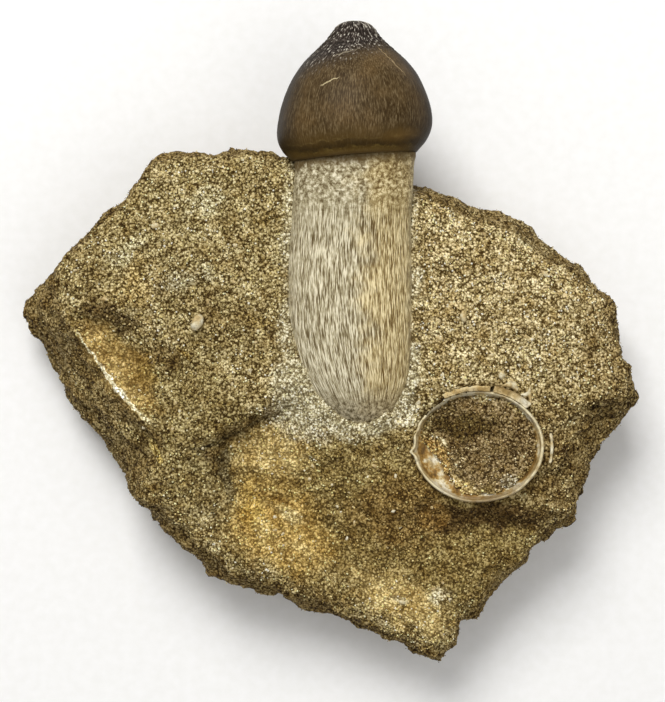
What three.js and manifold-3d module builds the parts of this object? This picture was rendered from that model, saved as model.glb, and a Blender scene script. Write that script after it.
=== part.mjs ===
// A fossil mosasaur tooth, crown and root, lying in the block of coarse sandstone it was found in,
// with a small round fish vertebra and a few bits of bone beside it.
// Millimetres. +Z is up, away from the surface that the block lies on. +Y runs from the root to the crown.
// The origin is on the flat underside of the block, below the middle of the root.

import * as THREE from "three";
import { ImprovedNoise } from "three/addons/math/ImprovedNoise.js";
import { mergeGeometries, mergeVertices } from "three/addons/utils/BufferGeometryUtils.js";
import Module from "manifold-3d";

// Driving dimensions
const GAP = 0.3; // room between pieces that touch
const SLANT = Math.tan(THREE.MathUtils.degToRad(4.4)); // the crown sits a little askew on its root

const TOOTH_X = 4.85; // the tooth's long axis, at the neck
const TOOTH_LEAN = 1.55; // how far the root's tip lies to the right of the neck
const TOOTH_BOW = 1.6; // how far the root bows to the left between them
const NECK_Y = 34.1; // where the crown meets the root
const NECK_Z = 23.6; // height of the tooth's axis at the neck
const ROOT_LENGTH = 49.8;
const CROWN_SHIFT = -0.1; // the crown's middle, beside the root's
const CROWN_DEPTH_SHARE = 0.86; // the crown is a little flatter than it is wide

const STONE_MIDDLE = new THREE.Vector2(0, -9.5);
const GRID = 36; // cells across the block's top face
const WALL_RINGS = 8;
const BASE_TUCK = 5.5; // how far the flat underside stays inside the block's outline, on average
const BASE_UNEVEN = 2.6; // and how far that varies
const WALL_STEP = 1.2; // depth of the broken facets of the sides

const VERTEBRA_MIDDLE = new THREE.Vector3(27.4, -18.4, 23.4);
const VERTEBRA_RADIUS = 12.0;
const VERTEBRA_DEPTH = 7.5;
const VERTEBRA_HEIGHT_SHARE = 0.855; // it is oval: less high than wide
const CUP_DEPTH = 3.4;
const RIM_WIDTH = 0.7;
const FILL_LEVEL = -0.5; // the stone in the cup, below the middle of the rim

// Swells and hollows of the block's top face: height, middle, reach along and across, turn in degrees.
const SWELLS = [
  [0.8, -25, 20, 16, 12, 0], // upper left
  [0.7, 33, 4, 14, 12, 0], // right
  [1.3, -20, -12, 13, 5, 28], // brow above the long ledge
  [-1.2, 2, -34, 20, 13, -25], // shallow basin below it
  [-3.6, -38.5, -1.5, 8.5, 6.5, -35], // scar near the left corner
  [1.5, -41.5, 8.8, 9, 4, -12], // brow above the scar
  [1.0, 52, -7, 6, 3.5, 15], // above the step at the right corner
];

// Ledges of the top face: drop, start and end of the line whose right side is lower, and how far the
// low side takes to come up again.
const LEDGES = [
  [3.0, [-21, -18.5], [-8, -10.5], 30], // the long ledge
  [1.8, [-22, -36], [-21, -18.5], 26], // the basin's left bank
  [2.2, [15, -31.4], [41, -31.8], 11], // below the vertebra
  [2.8, [42.5, -25], [48, -14], 18],
  [2.6, [47, -13], [60, -9.6], 12], // at the right corner
];

// Flakes of the vertebra's wall, left standing in the stone: how far from the rim and how wide, from
// which to which angle in degrees, and the heights of their ends.
const POCKET_HEIGHT = 4; // the stone is open above them
const FLAKES = {
  flake_top: { away: 0.3, width: 0.9, from: 43, to: 77, bottom: 21.5, top: 24.5 },
  flake_left: { away: 0.3, width: 0.6, from: 80, to: 121, bottom: 21.5, top: 24.4 },
  flake_right: { away: 1.35, width: 0.5, from: -15, to: 12, bottom: 20.5, top: 23.0 },
};

// Pebbles of bone in the stone: middle, half sizes, and turn in degrees.
const PEBBLES = {
  pebble_left: { middle: [-24.0, 4.3, 24.6], size: [1.7, 1.1, 0.9], turn: 60 },
  pebble_right: { middle: [24.6, 5.2, 25.0], size: [0.9, 0.6, 0.6], turn: 100 },
};

// The block's outline seen from above, counter-clockwise from the left corner, as x and y.
const OUTLINE = [
  [-58.4, 6.7], [-56.6, 2.5], [-52.4, -5.5], [-47.2, -13.1], [-43.9, -17.2], [-40.0, -22.4],
  [-37.6, -27.5], [-32.2, -32.4], [-30.2, -35.6], [-25.2, -39.4], [-18.5, -45.1], [-12.7, -46.9],
  [-5.7, -49.1], [-0.6, -50.1], [7.6, -53.4], [15.3, -57.1], [20.8, -59.6], [22.6, -57.6],
  [24.6, -56.1], [24.5, -53.2], [28.3, -50.6], [29.6, -47.1], [32.2, -43.8], [35.4, -41.6],
  [37.4, -40.8], [38.5, -38.0], [40.7, -37.1], [42.4, -34.5], [46.3, -32.3], [47.0, -28.0],
  [49.6, -24.0], [51.6, -18.1], [55.3, -13.8], [57.9, -10.1], [57.0, -5.2], [54.6, 0.0],
  [54.0, 8.0], [50.7, 10.7], [47.7, 14.4], [43.3, 17.9], [39.2, 21.4], [34.8, 24.2],
  [29.8, 25.9], [24.8, 28.1], [21.1, 28.8], [16.9, 29.2], [6.0, 33.6], [-9.5, 36.2],
  [-16.4, 36.8], [-25.6, 36.4], [-31.1, 35.9], [-33.4, 34.2], [-36.7, 29.6], [-38.5, 27.2],
  [-41.1, 25.9], [-45.5, 21.6], [-48.5, 18.1], [-50.5, 16.6], [-52.2, 14.1], [-55.1, 10.7],
  [-57.4, 8.5],
].map(([x, y]) => new THREE.Vector2(x, y));

const perlin = new ImprovedNoise();
const { degToRad, euclideanModulo, lerp, smoothstep } = THREE.MathUtils;

/** Rough rock relief from -1 to 1: coarse swells with finer ones on them. */
function roughness(x, y, z, size) {
  let sum = 0;
  for (const [share, finer] of [[0.6, 1], [0.3, 2.1], [0.15, 4.3]]) {
    const scale = finer / size;
    sum += share * perlin.noise(x * scale + 7.3, y * scale + 1.9, z * scale + 4.1);
  }
  return sum;
}

/** A smooth mound of height 1 at (cx, cy), reaching about rx and ry, turned by so many degrees. */
function mound(x, y, cx, cy, rx, ry, turn) {
  const c = Math.cos(degToRad(turn));
  const s = Math.sin(degToRad(turn));
  const along = ((x - cx) * c + (y - cy) * s) / rx;
  const across = ((y - cy) * c - (x - cx) * s) / ry;
  return Math.exp(-(along * along + across * across));
}

/** A ledge along the line from a to b: 0 on its left, 1 just to its right, fading out over reach. */
function ledge(x, y, a, b, reach) {
  const length = Math.hypot(b[0] - a[0], b[1] - a[1]);
  const ux = (b[0] - a[0]) / length;
  const uy = (b[1] - a[1]) / length;
  const along = (x - a[0]) * ux + (y - a[1]) * uy;
  const right = (x - a[0]) * uy - (y - a[1]) * ux + 0.8 * roughness(x, y, 0, 6);
  const ends = smoothstep(along, -5, 3) * (1 - smoothstep(along, length - 3, length + 5));
  return ends * smoothstep(right, -2.2, 2.2) * Math.exp(-Math.max(0, right) / reach);
}

/** The x of the tooth's axis at a height y. */
function toothAxisX(y) {
  const share = Math.min(1, Math.max(0, (NECK_Y - y) / ROOT_LENGTH));
  return TOOTH_X + TOOTH_LEAN * share - TOOTH_BOW * Math.sin(Math.PI * share);
}

// The root's outline from the neck to the tip: x is the distance below the neck, y the half width.
const ROOT_OUTLINE = new THREE.SplineCurve(
  [
    [0, 10.9], [5.3, 11.0], [12, 11.1], [20, 11.5], [28, 11.6], [33.2, 11.3], [36.9, 10.8], [40.7, 9.8],
    [44.2, 7.8], [47.4, 4.6], [ROOT_LENGTH, 0],
  ].map(([down, half]) => new THREE.Vector2(down, half)),
).getPoints(13);

/** The root's half width at a distance below the neck. */
function rootHalfWidth(down) {
  const i = ROOT_OUTLINE.findIndex((p) => p.x > down);
  if (i < 1) return i === 0 ? ROOT_OUTLINE[0].y : 0;
  const [before, after] = [ROOT_OUTLINE[i - 1], ROOT_OUTLINE[i]];
  return lerp(before.y, after.y, (down - before.x) / (after.x - before.x));
}

/** The height of the block's top face, before its edge is rounded. */
function topHeight(x, y) {
  let z = 24.4;
  z -= 0.0009 * ((x - 2) ** 2 + (y - 4) ** 2);
  z -= 2.6 * smoothstep(-y, 20, 55); // falls away towards the lower corner
  for (const [height, cx, cy, rx, ry, turn] of SWELLS) z += height * mound(x, y, cx, cy, rx, ry, turn);
  for (const [drop, from, to, reach] of LEDGES) z -= drop * ledge(x, y, from, to, reach);
  z += 0.7 * roughness(x, y, 0, 11) + 0.5 * roughness(x, y, 9, 5);
  // the stone was left banked up against the root
  const beside = Math.abs(x - toothAxisX(y)) - rootHalfWidth(NECK_Y - y);
  const beyond = Math.max(0, NECK_Y - ROOT_LENGTH - y);
  z += 1.3 * Math.exp(-Math.hypot(Math.max(0, beside), beyond) / 2.4);
  return z;
}

/** How far apart two directions are, from 0 to half a turn. */
function turnBetween(angle, other) {
  return Math.abs(euclideanModulo(angle - other + Math.PI, 2 * Math.PI) - Math.PI);
}

/** 1 in the direction of the broad sloping wall at the left, 0 away from it. */
function leftWallShare(angle) {
  return 1 - smoothstep(turnBetween(angle, degToRad(181)), degToRad(13), degToRad(27));
}

/** How wide the sloping face between the top and the outline is. */
function slopeWidth(angle) {
  const below = 1 - smoothstep(turnBetween(angle, degToRad(240)), degToRad(20), degToRad(34));
  const upperRight = 1 - smoothstep(turnBetween(angle, degToRad(44)), degToRad(8), degToRad(26));
  return 1.6 + 10.4 * leftWallShare(angle) + 1.4 * below + 2.0 * upperRight;
}

/** The outline's distance from the block's middle in one direction. */
function outlineRadius(angle) {
  const dir = new THREE.Vector2(Math.cos(angle), Math.sin(angle));
  for (let i = 0; i < OUTLINE.length; i++) {
    const a = OUTLINE[i].clone().sub(STONE_MIDDLE);
    const side = OUTLINE[(i + 1) % OUTLINE.length].clone().sub(STONE_MIDDLE).sub(a);
    const cross = dir.cross(side);
    const share = a.cross(dir) / cross;
    const distance = a.cross(side) / cross;
    if (share >= 0 && share <= 1 && distance > 0) return distance;
  }
  throw new Error("the outline is open");
}

/** The angle of one of the points spaced evenly along the edge of the top face's grid. */
function edgeAngle(step) {
  return (step * Math.PI) / (2 * GRID);
}

const STEPS_AROUND = 4 * GRID;
const RADII = Array.from({ length: STEPS_AROUND }, (_, i) => outlineRadius(edgeAngle(i)));

/** The outline's distance from the block's middle at one of the steps around it. */
function radiusAt(step) {
  return RADII[euclideanModulo(Math.round(step), STEPS_AROUND)];
}

/** The point at a distance from the block's middle, at one of the steps around it. */
function pointAt(step, radius) {
  const angle = edgeAngle(euclideanModulo(Math.round(step), STEPS_AROUND));
  return new THREE.Vector2(Math.cos(angle), Math.sin(angle)).multiplyScalar(radius).add(STONE_MIDDLE);
}

/** A point of the underside's edge: inside the smoothed outline by an uneven amount. */
function footPoint(step) {
  const nearby = [-4, -2, 0, 2, 4].map((k) => radiusAt(step + k));
  const smoothed = nearby.reduce((sum, radius) => sum + radius) / nearby.length;
  const p = pointAt(step, smoothed);
  return pointAt(step, smoothed - BASE_TUCK + BASE_UNEVEN * roughness(p.x, p.y, 0, 13));
}

/** Where a point of the square grid, with u and v from -1 to 1, lies on the block's top face. */
function onTopFace(u, v) {
  const share = Math.max(Math.abs(u), Math.abs(v));
  if (share === 0) return STONE_MIDDLE.clone();
  let quarter;
  if (Math.abs(u) >= Math.abs(v)) quarter = u > 0 ? v / u : 4 + v / u;
  else quarter = v > 0 ? 2 - u / v : 6 - u / v;
  const exact = (quarter * GRID) / 2;
  const step = Math.abs(exact - Math.round(exact)) < 1e-3 ? Math.round(exact) : exact;
  const angle = edgeAngle(step);
  const low = Math.floor(step);
  const part = step - low;
  const rim = lerp(radiusAt(low), radiusAt(low + 1), part) - slopeWidth(angle);
  return new THREE.Vector2(Math.cos(angle), Math.sin(angle)).multiplyScalar(share * rim).add(STONE_MIDDLE);
}

/** The height of the finished top face. Its edge is rounded down, but stays sharp above the left wall. */
function stoneHeight(x, y, inside) {
  const angle = Math.atan2(y - STONE_MIDDLE.y, x - STONE_MIDDLE.x);
  return topHeight(x, y) - lerp(1.9, 0.3, leftWallShare(angle)) * Math.exp(-inside / 1.7);
}

function setPoints(geometry, place) {
  const points = geometry.attributes.position;
  for (let i = 0; i < points.count; i++) {
    const p = place(points.getX(i), points.getY(i), points.getZ(i));
    points.setXYZ(i, p.x, p.y, p.z);
  }
  return geometry;
}

/** The closed surface of the block: its top face, its broken sides and its flat underside. */
function stoneSurface() {
  const top = setPoints(new THREE.PlaneGeometry(2, 2, GRID, GRID), (u, v) => {
    const p = onTopFace(u, v);
    const share = Math.max(Math.abs(u), Math.abs(v));
    const angle = Math.atan2(p.y - STONE_MIDDLE.y, p.x - STONE_MIDDLE.x);
    const inside = (p.distanceTo(STONE_MIDDLE) / Math.max(share, 1e-6)) * (1 - share);
    return new THREE.Vector3(p.x, p.y, stoneHeight(p.x, p.y, share ? inside : outlineRadius(angle)));
  });

  const wall = setPoints(new THREE.PlaneGeometry(1, 1, STEPS_AROUND, WALL_RINGS), (u, v) => {
    const step = (u + 0.5) * STEPS_AROUND;
    const down = 0.5 - v;
    const slope = slopeWidth(edgeAngle(euclideanModulo(Math.round(step), STEPS_AROUND)));
    const rim = pointAt(step, radiusAt(step) - slope);
    const rimZ = stoneHeight(rim.x, rim.y, 0);
    if (down < 1e-6) return new THREE.Vector3(rim.x, rim.y, rimZ);
    const foot = footPoint(step);
    if (down > 1 - 1e-6) return new THREE.Vector3(foot.x, foot.y, 0);
    const widest = lerp(0.3, 0.62, smoothstep(slope, 2, 8)); // how far down it reaches the outline
    const above = slope * Math.max(0, 1 - down / widest) ** 1.3;
    const p = pointAt(step, radiusAt(step) - above).lerp(foot, smoothstep(down, widest, 1) ** 1.6);
    const z = rimZ * (1 - down);
    // broken facets: part of the relief goes in steps
    const smooth = 3.2 * roughness(p.x, p.y, 1.6 * z, 10) - 0.4;
    const relief = lerp(smooth, Math.round(smooth / WALL_STEP) * WALL_STEP, 0.6) * Math.sin(Math.PI * down);
    const out = p.clone().sub(STONE_MIDDLE).normalize().multiplyScalar(relief);
    return new THREE.Vector3(p.x + out.x, p.y + out.y, z);
  });

  const foot = Array.from({ length: STEPS_AROUND }, (_, i) => footPoint(i));
  const underside = new THREE.ShapeGeometry(new THREE.Shape(foot));
  underside.index.array.reverse(); // it faces down

  const parts = [top, wall, underside].map((g) => {
    g.deleteAttribute("normal");
    g.deleteAttribute("uv");
    return g;
  });
  return mergeGeometries(parts);
}

/** The root: a bone rod, low and broad in front, rounded at its tip. grow makes it larger all round. */
function rootSurface(grow = 0) {
  const stretch = 1 + grow / ROOT_LENGTH;
  const side = ROOT_OUTLINE.map((p) => new THREE.Vector2(p.y > 1e-6 ? p.y + grow : 0, -p.x * stretch));
  side[0].y += grow;
  const profile = [new THREE.Vector2(0, side[0].y), ...side].reverse();
  const lathe = new THREE.LatheGeometry(profile, grow ? 28 : 36);
  return setPoints(lathe, (x, y, z) => {
    const down = -y;
    const neck = 1 - smoothstep(down, 2, 18);
    const depthShare = z > 0 ? lerp(0.5, 0.74, neck) : lerp(0.68, 0.8, neck);
    const flute = 1 + 0.018 * perlin.noise(Math.atan2(z, x) * 9, down / 14, 0.5);
    const radius = Math.max(Math.hypot(x, z), 1e-6);
    const share = grow ? 1 : flute;
    return new THREE.Vector3(
      x * share + toothAxisX(NECK_Y + y) + 0.6 * smoothstep(down, 30, 46) * (1 - Math.abs(x) / radius),
      NECK_Y + y + x * SLANT * (1 - smoothstep(down, 0, 9)),
      NECK_Z + z * depthShare * share - 0.9 * smoothstep(down, 20, ROOT_LENGTH),
    );
  });
}

/** The crown: a low swollen dome with a small nipple-like tip. grow makes it larger all round. */
function crownSurface(grow = 0) {
  const profile = [
    [0, -grow], [7.5, -grow], [10.8, -grow], [12.0, 0.9], [13.2, 2.3], [14.0, 4.2], [14.15, 6.4],
    [13.6, 9.4], [12.65, 12.2], [11.3, 14.9], [9.3, 17.6], [7.0, 19.8], [5.0, 21.7], [3.9, 23.2],
    [3.0, 24.2], [1.6, 24.9], [0, 25.1],
  ].map(([r, h]) => new THREE.Vector2(r ? r + grow : 0, h));
  return setPoints(new THREE.LatheGeometry(profile, 32), (x, y, z) => {
    const slant = x * SLANT * (1 - smoothstep(y, 6, 25));
    const middle = new THREE.Vector3(TOOTH_X + CROWN_SHIFT, NECK_Y + GAP + slant, NECK_Z);
    return middle.add(new THREE.Vector3(x, y, z * CROWN_DEPTH_SHARE));
  });
}

/** Turns a lathe that stands along Y up to Z, makes it oval and puts it where the vertebra is. */
function placeVertebra(geometry) {
  return setPoints(geometry, (x, y, z) => {
    const p = new THREE.Vector3(x, -z * VERTEBRA_HEIGHT_SHARE, y);
    p.applyAxisAngle(new THREE.Vector3(1, 1, 0).normalize(), degToRad(-3));
    return p.add(VERTEBRA_MIDDLE);
  });
}

/** The vertebra: a short drum with a thin rim round a hollow face. */
function vertebraSurface(grow = 0) {
  const r = VERTEBRA_RADIUS + grow;
  const drum = [
    [0, -VERTEBRA_DEPTH - grow], [r - 0.8, -VERTEBRA_DEPTH - grow], [r - 1.4, -VERTEBRA_DEPTH / 2],
    [r - 0.3, -1.5], [r, 0.2], [r - 0.25, 0.9 + grow],
  ];
  const cup = [
    [r - RIM_WIDTH + 0.1, 0.9], [r - RIM_WIDTH - 0.1, -0.4], [r - 1.7, -1.5], [r - 4.2, -2.3],
    [r - 7.5, -3.0], [0, -CUP_DEPTH],
  ];
  const lid = [[0, 0.9 + grow]];
  const profile = [...drum, ...(grow ? lid : cup)].map(([x, y]) => new THREE.Vector2(x, y));
  return placeVertebra(new THREE.LatheGeometry(profile, 36));
}

/** The stone that fills the hollow of the vertebra, before its top is cut. */
function fillSurface() {
  const r = VERTEBRA_RADIUS;
  const profile = [
    [0, -CUP_DEPTH + GAP], [r - 7.5, -3.0 + GAP], [r - 4.4, -2.3 + GAP], [r - 2.0, -1.5 + GAP],
    [r - RIM_WIDTH - 0.5, -0.4], [r - RIM_WIDTH - 0.5, 1], [0, 1],
  ].map(([x, y]) => new THREE.Vector2(x, y));
  return placeVertebra(new THREE.LatheGeometry(profile, 28));
}

/** A block whose lower face cuts the fill's top: low at the lower left, where the bone shows. */
function fillCutter() {
  const side = 40;
  const cutter = new THREE.BoxGeometry(side, side, side, 14, 14, 1);
  return setPoints(cutter, (x, y, z) => {
    const p = new THREE.Vector3(x, y, z);
    if (z < 0) {
      p.z += 0.5 * roughness(x, y, 3, 5) - 0.8 * mound(x, y, -4, 5, 7, 4, 20);
      p.z -= 2.0 * mound(x, y, -9.5, -4.5, 5.5, 5, -40); // here the bone of the cup shows
    }
    p.z += side / 2 + FILL_LEVEL;
    return p.add(VERTEBRA_MIDDLE);
  });
}

/** A flake of the vertebra's wall: an upright bar that follows the oval rim. grow makes it larger. */
function flakeSurface({ away, width, from, to, bottom, top }, grow = 0) {
  const [inner, outer] = [away - grow, away + width + grow].map((out) => VERTEBRA_RADIUS + out);
  const flatter = VERTEBRA_RADIUS * (1 - VERTEBRA_HEIGHT_SHARE);
  const [start, end] = [degToRad(from) - grow / inner, degToRad(to) + grow / inner];
  const shape = new THREE.Shape();
  shape.absellipse(0, 0, outer, outer - flatter, start, end, false);
  shape.absellipse(0, 0, inner, inner - flatter, end, start, true);
  const depth = top - bottom + (grow ? POCKET_HEIGHT : 0);
  const bar = new THREE.ExtrudeGeometry(shape, { depth, bevelEnabled: false, curveSegments: 5 });
  return bar.translate(VERTEBRA_MIDDLE.x, VERTEBRA_MIDDLE.y, bottom - grow);
}

/** A rounded pebble of bone, lying in the stone. */
function pebbleSurface(middle, size, turn) {
  const ball = new THREE.IcosahedronGeometry(1, 1);
  return setPoints(ball, (x, y, z) => {
    const lump = 1 + 0.12 * perlin.noise(x * 1.7 + middle[0], y * 1.7, z * 1.7);
    const p = new THREE.Vector3(x * size[0], y * size[1], z * size[2]).multiplyScalar(lump);
    return p.applyAxisAngle(new THREE.Vector3(0, 0, 1), degToRad(turn)).add(new THREE.Vector3(...middle));
  });
}

const wasm = await Module();
wasm.setup();

/** A closed mesh as a solid that can be joined and cut. */
function solid(geometry) {
  const bare = geometry.clone();
  bare.deleteAttribute("normal");
  bare.deleteAttribute("uv");
  const merged = mergeVertices(bare, 1e-3);
  return new wasm.Manifold(
    new wasm.Mesh({
      numProp: 3,
      vertProperties: new Float32Array(merged.attributes.position.array),
      triVerts: new Uint32Array(merged.index.array),
    }),
  );
}

/** A solid as a mesh with its own name and finish. */
function piece(name, manifold, color, roughnessValue) {
  const mesh = manifold.getMesh();
  const geometry = new THREE.BufferGeometry();
  geometry.setAttribute("position", new THREE.BufferAttribute(mesh.vertProperties, 3));
  geometry.setIndex(new THREE.BufferAttribute(mesh.triVerts, 1));
  geometry.computeVertexNormals();
  const material = new THREE.MeshStandardMaterial({ color, roughness: roughnessValue, metalness: 0 });
  const made = new THREE.Mesh(geometry, material);
  made.name = name;
  return made;
}

const SANDSTONE = 0x8a7345;
const BONE = 0xc9b88f;

const small = {};
let block = solid(stoneSurface());
for (const grown of [rootSurface(GAP), crownSurface(GAP), vertebraSurface(GAP)]) {
  block = block.subtract(solid(grown));
}
for (const [name, flake] of Object.entries(FLAKES)) {
  small[name] = solid(flakeSurface(flake));
  block = block.subtract(solid(flakeSurface(flake, GAP)));
}
for (const [name, { middle, size, turn }] of Object.entries(PEBBLES)) {
  small[name] = solid(pebbleSurface(middle, size, turn));
  block = block.subtract(solid(pebbleSurface(middle, size.map((s) => s + GAP), turn)));
}

const specimen = new THREE.Group();
specimen.add(
  piece("stone", block, SANDSTONE, 0.95),
  piece("root", solid(rootSurface()), 0xb5a584, 0.85),
  piece("crown", solid(crownSurface()), 0x453319, 0.35),
  piece("vertebra", solid(vertebraSurface()), BONE, 0.7),
  piece("vertebra_fill", solid(fillSurface()).subtract(solid(fillCutter())), 0x5f4e2e, 0.95),
  ...Object.entries(small).map(([name, manifold]) => piece(name, manifold, BONE, 0.7)),
);

export default specimen;
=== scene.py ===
"""The looks of a fossil mosasaur tooth lying in its block of coarse sandstone.

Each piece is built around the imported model, in metres, in the model's own frame: +Z is up, +Y runs
from the root's tip to the crown, and the origin is on the flat underside of the block. Sizes that
are easier to read in millimetres are written as a number times MM.
"""

import logging
import math
from collections.abc import Iterable
from dataclasses import dataclass, field
from enum import Enum

import bmesh
import bpy
import numpy as np
from mathutils import Matrix, Quaternion, Vector, noise
from mathutils.bvhtree import BVHTree


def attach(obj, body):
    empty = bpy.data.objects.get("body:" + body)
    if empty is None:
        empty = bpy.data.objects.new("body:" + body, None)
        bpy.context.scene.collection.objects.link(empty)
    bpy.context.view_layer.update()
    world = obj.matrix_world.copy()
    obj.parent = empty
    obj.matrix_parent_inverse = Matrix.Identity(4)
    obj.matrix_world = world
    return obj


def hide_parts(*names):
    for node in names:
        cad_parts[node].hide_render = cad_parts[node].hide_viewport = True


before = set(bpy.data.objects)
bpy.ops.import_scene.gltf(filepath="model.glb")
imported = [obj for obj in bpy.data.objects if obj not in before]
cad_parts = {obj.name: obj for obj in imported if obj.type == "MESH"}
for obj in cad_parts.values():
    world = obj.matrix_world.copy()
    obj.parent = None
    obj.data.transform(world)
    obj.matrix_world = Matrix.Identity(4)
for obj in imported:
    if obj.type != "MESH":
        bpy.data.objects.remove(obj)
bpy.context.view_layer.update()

Tree, Socket, Material = bpy.types.NodeTree, bpy.types.NodeSocket, bpy.types.Material
Mesh, Object, BMesh = bpy.types.Mesh, bpy.types.Object, bmesh.types.BMesh

MM = 0.001
BODY = "root"
SMALL_BONES = ("flake_top", "flake_left", "flake_right", "pebble_left", "pebble_right")
log = logging.getLogger("fossil")


def linear(hex_colour: str) -> tuple[float, float, float, float]:
    """Turns an sRGB hex colour into linear RGBA.

    Args:
        hex_colour: six hex digits, with no mark before them.

    Returns:
        Red, green, blue and an alpha of 1, linear.
    """
    parts = [int(hex_colour[i : i + 2], 16) / 255 for i in (0, 2, 4)]
    red, green, blue = (p / 12.92 if p <= 0.04045 else ((p + 0.055) / 1.055) ** 2.4 for p in parts)
    return (red, green, blue, 1.0)


def put(tree: Tree, kind: str, inputs: dict, out: int | str = 0, **settings) -> Socket:
    """Adds one node to a tree.

    Args:
        tree: the node tree.
        kind: the node's type name.
        inputs: by socket name or number, a value to set or another node's output to link.
        out: the name or number of the output that is handed back.
        settings: the node's own properties.

    Returns:
        The chosen output socket, or the first input of a node without outputs.
    """
    node = tree.nodes.new(kind)
    for name, value in settings.items():
        setattr(node, name, value)
    for name, value in inputs.items():
        if isinstance(value, Socket):
            tree.links.new(value, node.inputs[name])
        else:
            node.inputs[name].default_value = value
    return node.outputs[out] if len(node.outputs) else node.inputs[0]


def maths(tree: Tree, operation: str, *values: Socket | float) -> Socket:
    """Adds a sum on numbers, which are given in the order of the node's inputs."""
    return put(tree, "ShaderNodeMath", dict(enumerate(values)), operation=operation)


def vectors(tree: Tree, operation: str, *values: Socket | tuple[float, ...]) -> Socket:
    """Adds a sum on places or colours, which are given in the order of the node's inputs."""
    return put(tree, "ShaderNodeVectorMath", dict(enumerate(values)), operation=operation)


def scaled(tree: Tree, vector: Socket, factor: float) -> Socket:
    """Adds a vector's product with a number."""
    return put(tree, "ShaderNodeVectorMath", {0: vector, "Scale": factor}, operation="SCALE")


def coordinate(tree: Tree, place: Socket, axis: str) -> Socket:
    """Takes one coordinate, X, Y or Z, out of a place."""
    return put(tree, "ShaderNodeSeparateXYZ", {"Vector": place}, out=axis)


def attribute(tree: Tree, name: str, out: str = "Fac") -> Socket:
    """Reads what the mesh holds for each vertex under a name."""
    return put(tree, "ShaderNodeAttribute", {}, out=out, attribute_name=name)


def clouded(
    tree: Tree, place: Socket, scale: float, detail: float, roughness: float = 0.5, out: int | str = 0
) -> Socket:
    """Adds noise.

    Args:
        tree: the node tree.
        place: where it is read.
        scale: how many of its largest lumps fit into one unit of the place.
        detail: how many times finer lumps are added.
        roughness: how strong the finer lumps are.
        out: the name or number of the output.

    Returns:
        The noise, about 0.5 on average.
    """
    inputs = {"Vector": place, "Scale": scale, "Detail": detail, "Roughness": roughness}
    return put(tree, "ShaderNodeTexNoise", inputs, out=out)


def fitted(
    tree: Tree, value: Socket, low: float, high: float, end: tuple = (0.0, 1.0), smooth: bool = False
) -> Socket:
    """Turns one range of a value into another, held at its ends.

    Args:
        tree: the node tree.
        value: the value.
        low: the value that becomes the first of the new ends.
        high: the value that becomes the second.
        end: the new ends, each a number or an output.
        smooth: whether it eases in and out.

    Returns:
        The new value.
    """
    inputs = {"Value": value, "From Min": low, "From Max": high, "To Min": end[0], "To Max": end[1]}
    return put(tree, "ShaderNodeMapRange", inputs, interpolation_type="SMOOTHSTEP" if smooth else "LINEAR")


def mixed(tree: Tree, share: Socket, first: Socket, second: Socket | tuple[float, ...]) -> Socket:
    """Mixes two colours: all of the second where the share is 1."""
    return put(tree, "ShaderNodeMix", {0: share, 6: first, 7: second}, out=2, data_type="RGBA")


def ellipse(tree: Tree, place: Socket, middle: tuple, reach: tuple, turn: float) -> Socket:
    """Measures how far a place lies from the middle of an ellipse.

    Args:
        tree: the node tree.
        place: the place, flat.
        middle: the middle of the ellipse.
        reach: its half length and half width.
        turn: its turn in degrees.

    Returns:
        The distance: 0 in the middle, and 1 on the ellipse.
    """
    inputs = {"Vector": place, "Location": (*middle, 0), "Rotation": (0, 0, math.radians(turn))}
    local = put(tree, "ShaderNodeMapping", {**inputs, "Scale": (*reach, 1.0)}, vector_type="TEXTURE")
    return put(tree, "ShaderNodeVectorMath", {0: local}, out="Value", operation="LENGTH")


def bumped(tree: Tree, height: Socket, strength: float, distance: float) -> Socket:
    """Adds a bump of the surface, its distance in metres."""
    return put(tree, "ShaderNodeBump", {"Strength": strength, "Distance": distance, "Height": height})


def surfaced(
    material: Material,
    colour: Socket,
    rough: Socket | float,
    specular: float = 0.5,
    bump: Socket | None = None,
) -> Material:
    """Ends a material with its surface.

    Args:
        material: the material.
        colour: its colour.
        rough: its roughness.
        specular: how strongly it mirrors, 0.5 for plain glass.
        bump: its bumped normal, if it has one.

    Returns:
        The finished material.
    """
    finish = {"Base Color": colour, "Roughness": rough, "IOR": 1.5, "Specular IOR Level": specular}
    if bump:
        finish["Normal"] = bump
    shader = put(material.node_tree, "ShaderNodeBsdfPrincipled", finish)
    put(material.node_tree, "ShaderNodeOutputMaterial", {"Surface": shader})
    return material


def ramp(tree: Tree, factor: Socket, stops: Iterable[tuple[float, str]]) -> Socket:
    """Adds a colour ramp.

    Args:
        tree: the node tree.
        factor: what is looked up on the ramp.
        stops: places from 0 to 1 with their hex colours, in order.

    Returns:
        The ramp's colour output.
    """
    colour = put(tree, "ShaderNodeValToRGB", {"Fac": factor})
    elements = colour.node.color_ramp.elements
    stops = list(stops)
    while len(elements) < len(stops):
        elements.new(0.5)
    for element, (place, shade) in zip(elements, stops):
        element.position = place
        element.color = linear(shade)
    return colour


def blank_material(name: str) -> tuple[Material, Tree]:
    """Makes a material with an empty node tree.

    Args:
        name: the material's name.

    Returns:
        The material and its tree.
    """
    material = bpy.data.materials.new(name)
    material.use_nodes = True
    material.node_tree.nodes.clear()
    return material, material.node_tree


def millimetres(tree: Tree) -> Socket:
    """Adds the object's own coordinates in millimetres, as a vector output."""
    return scaled(tree, put(tree, "ShaderNodeTexCoord", {}, out="Object"), 1 / MM)


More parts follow.
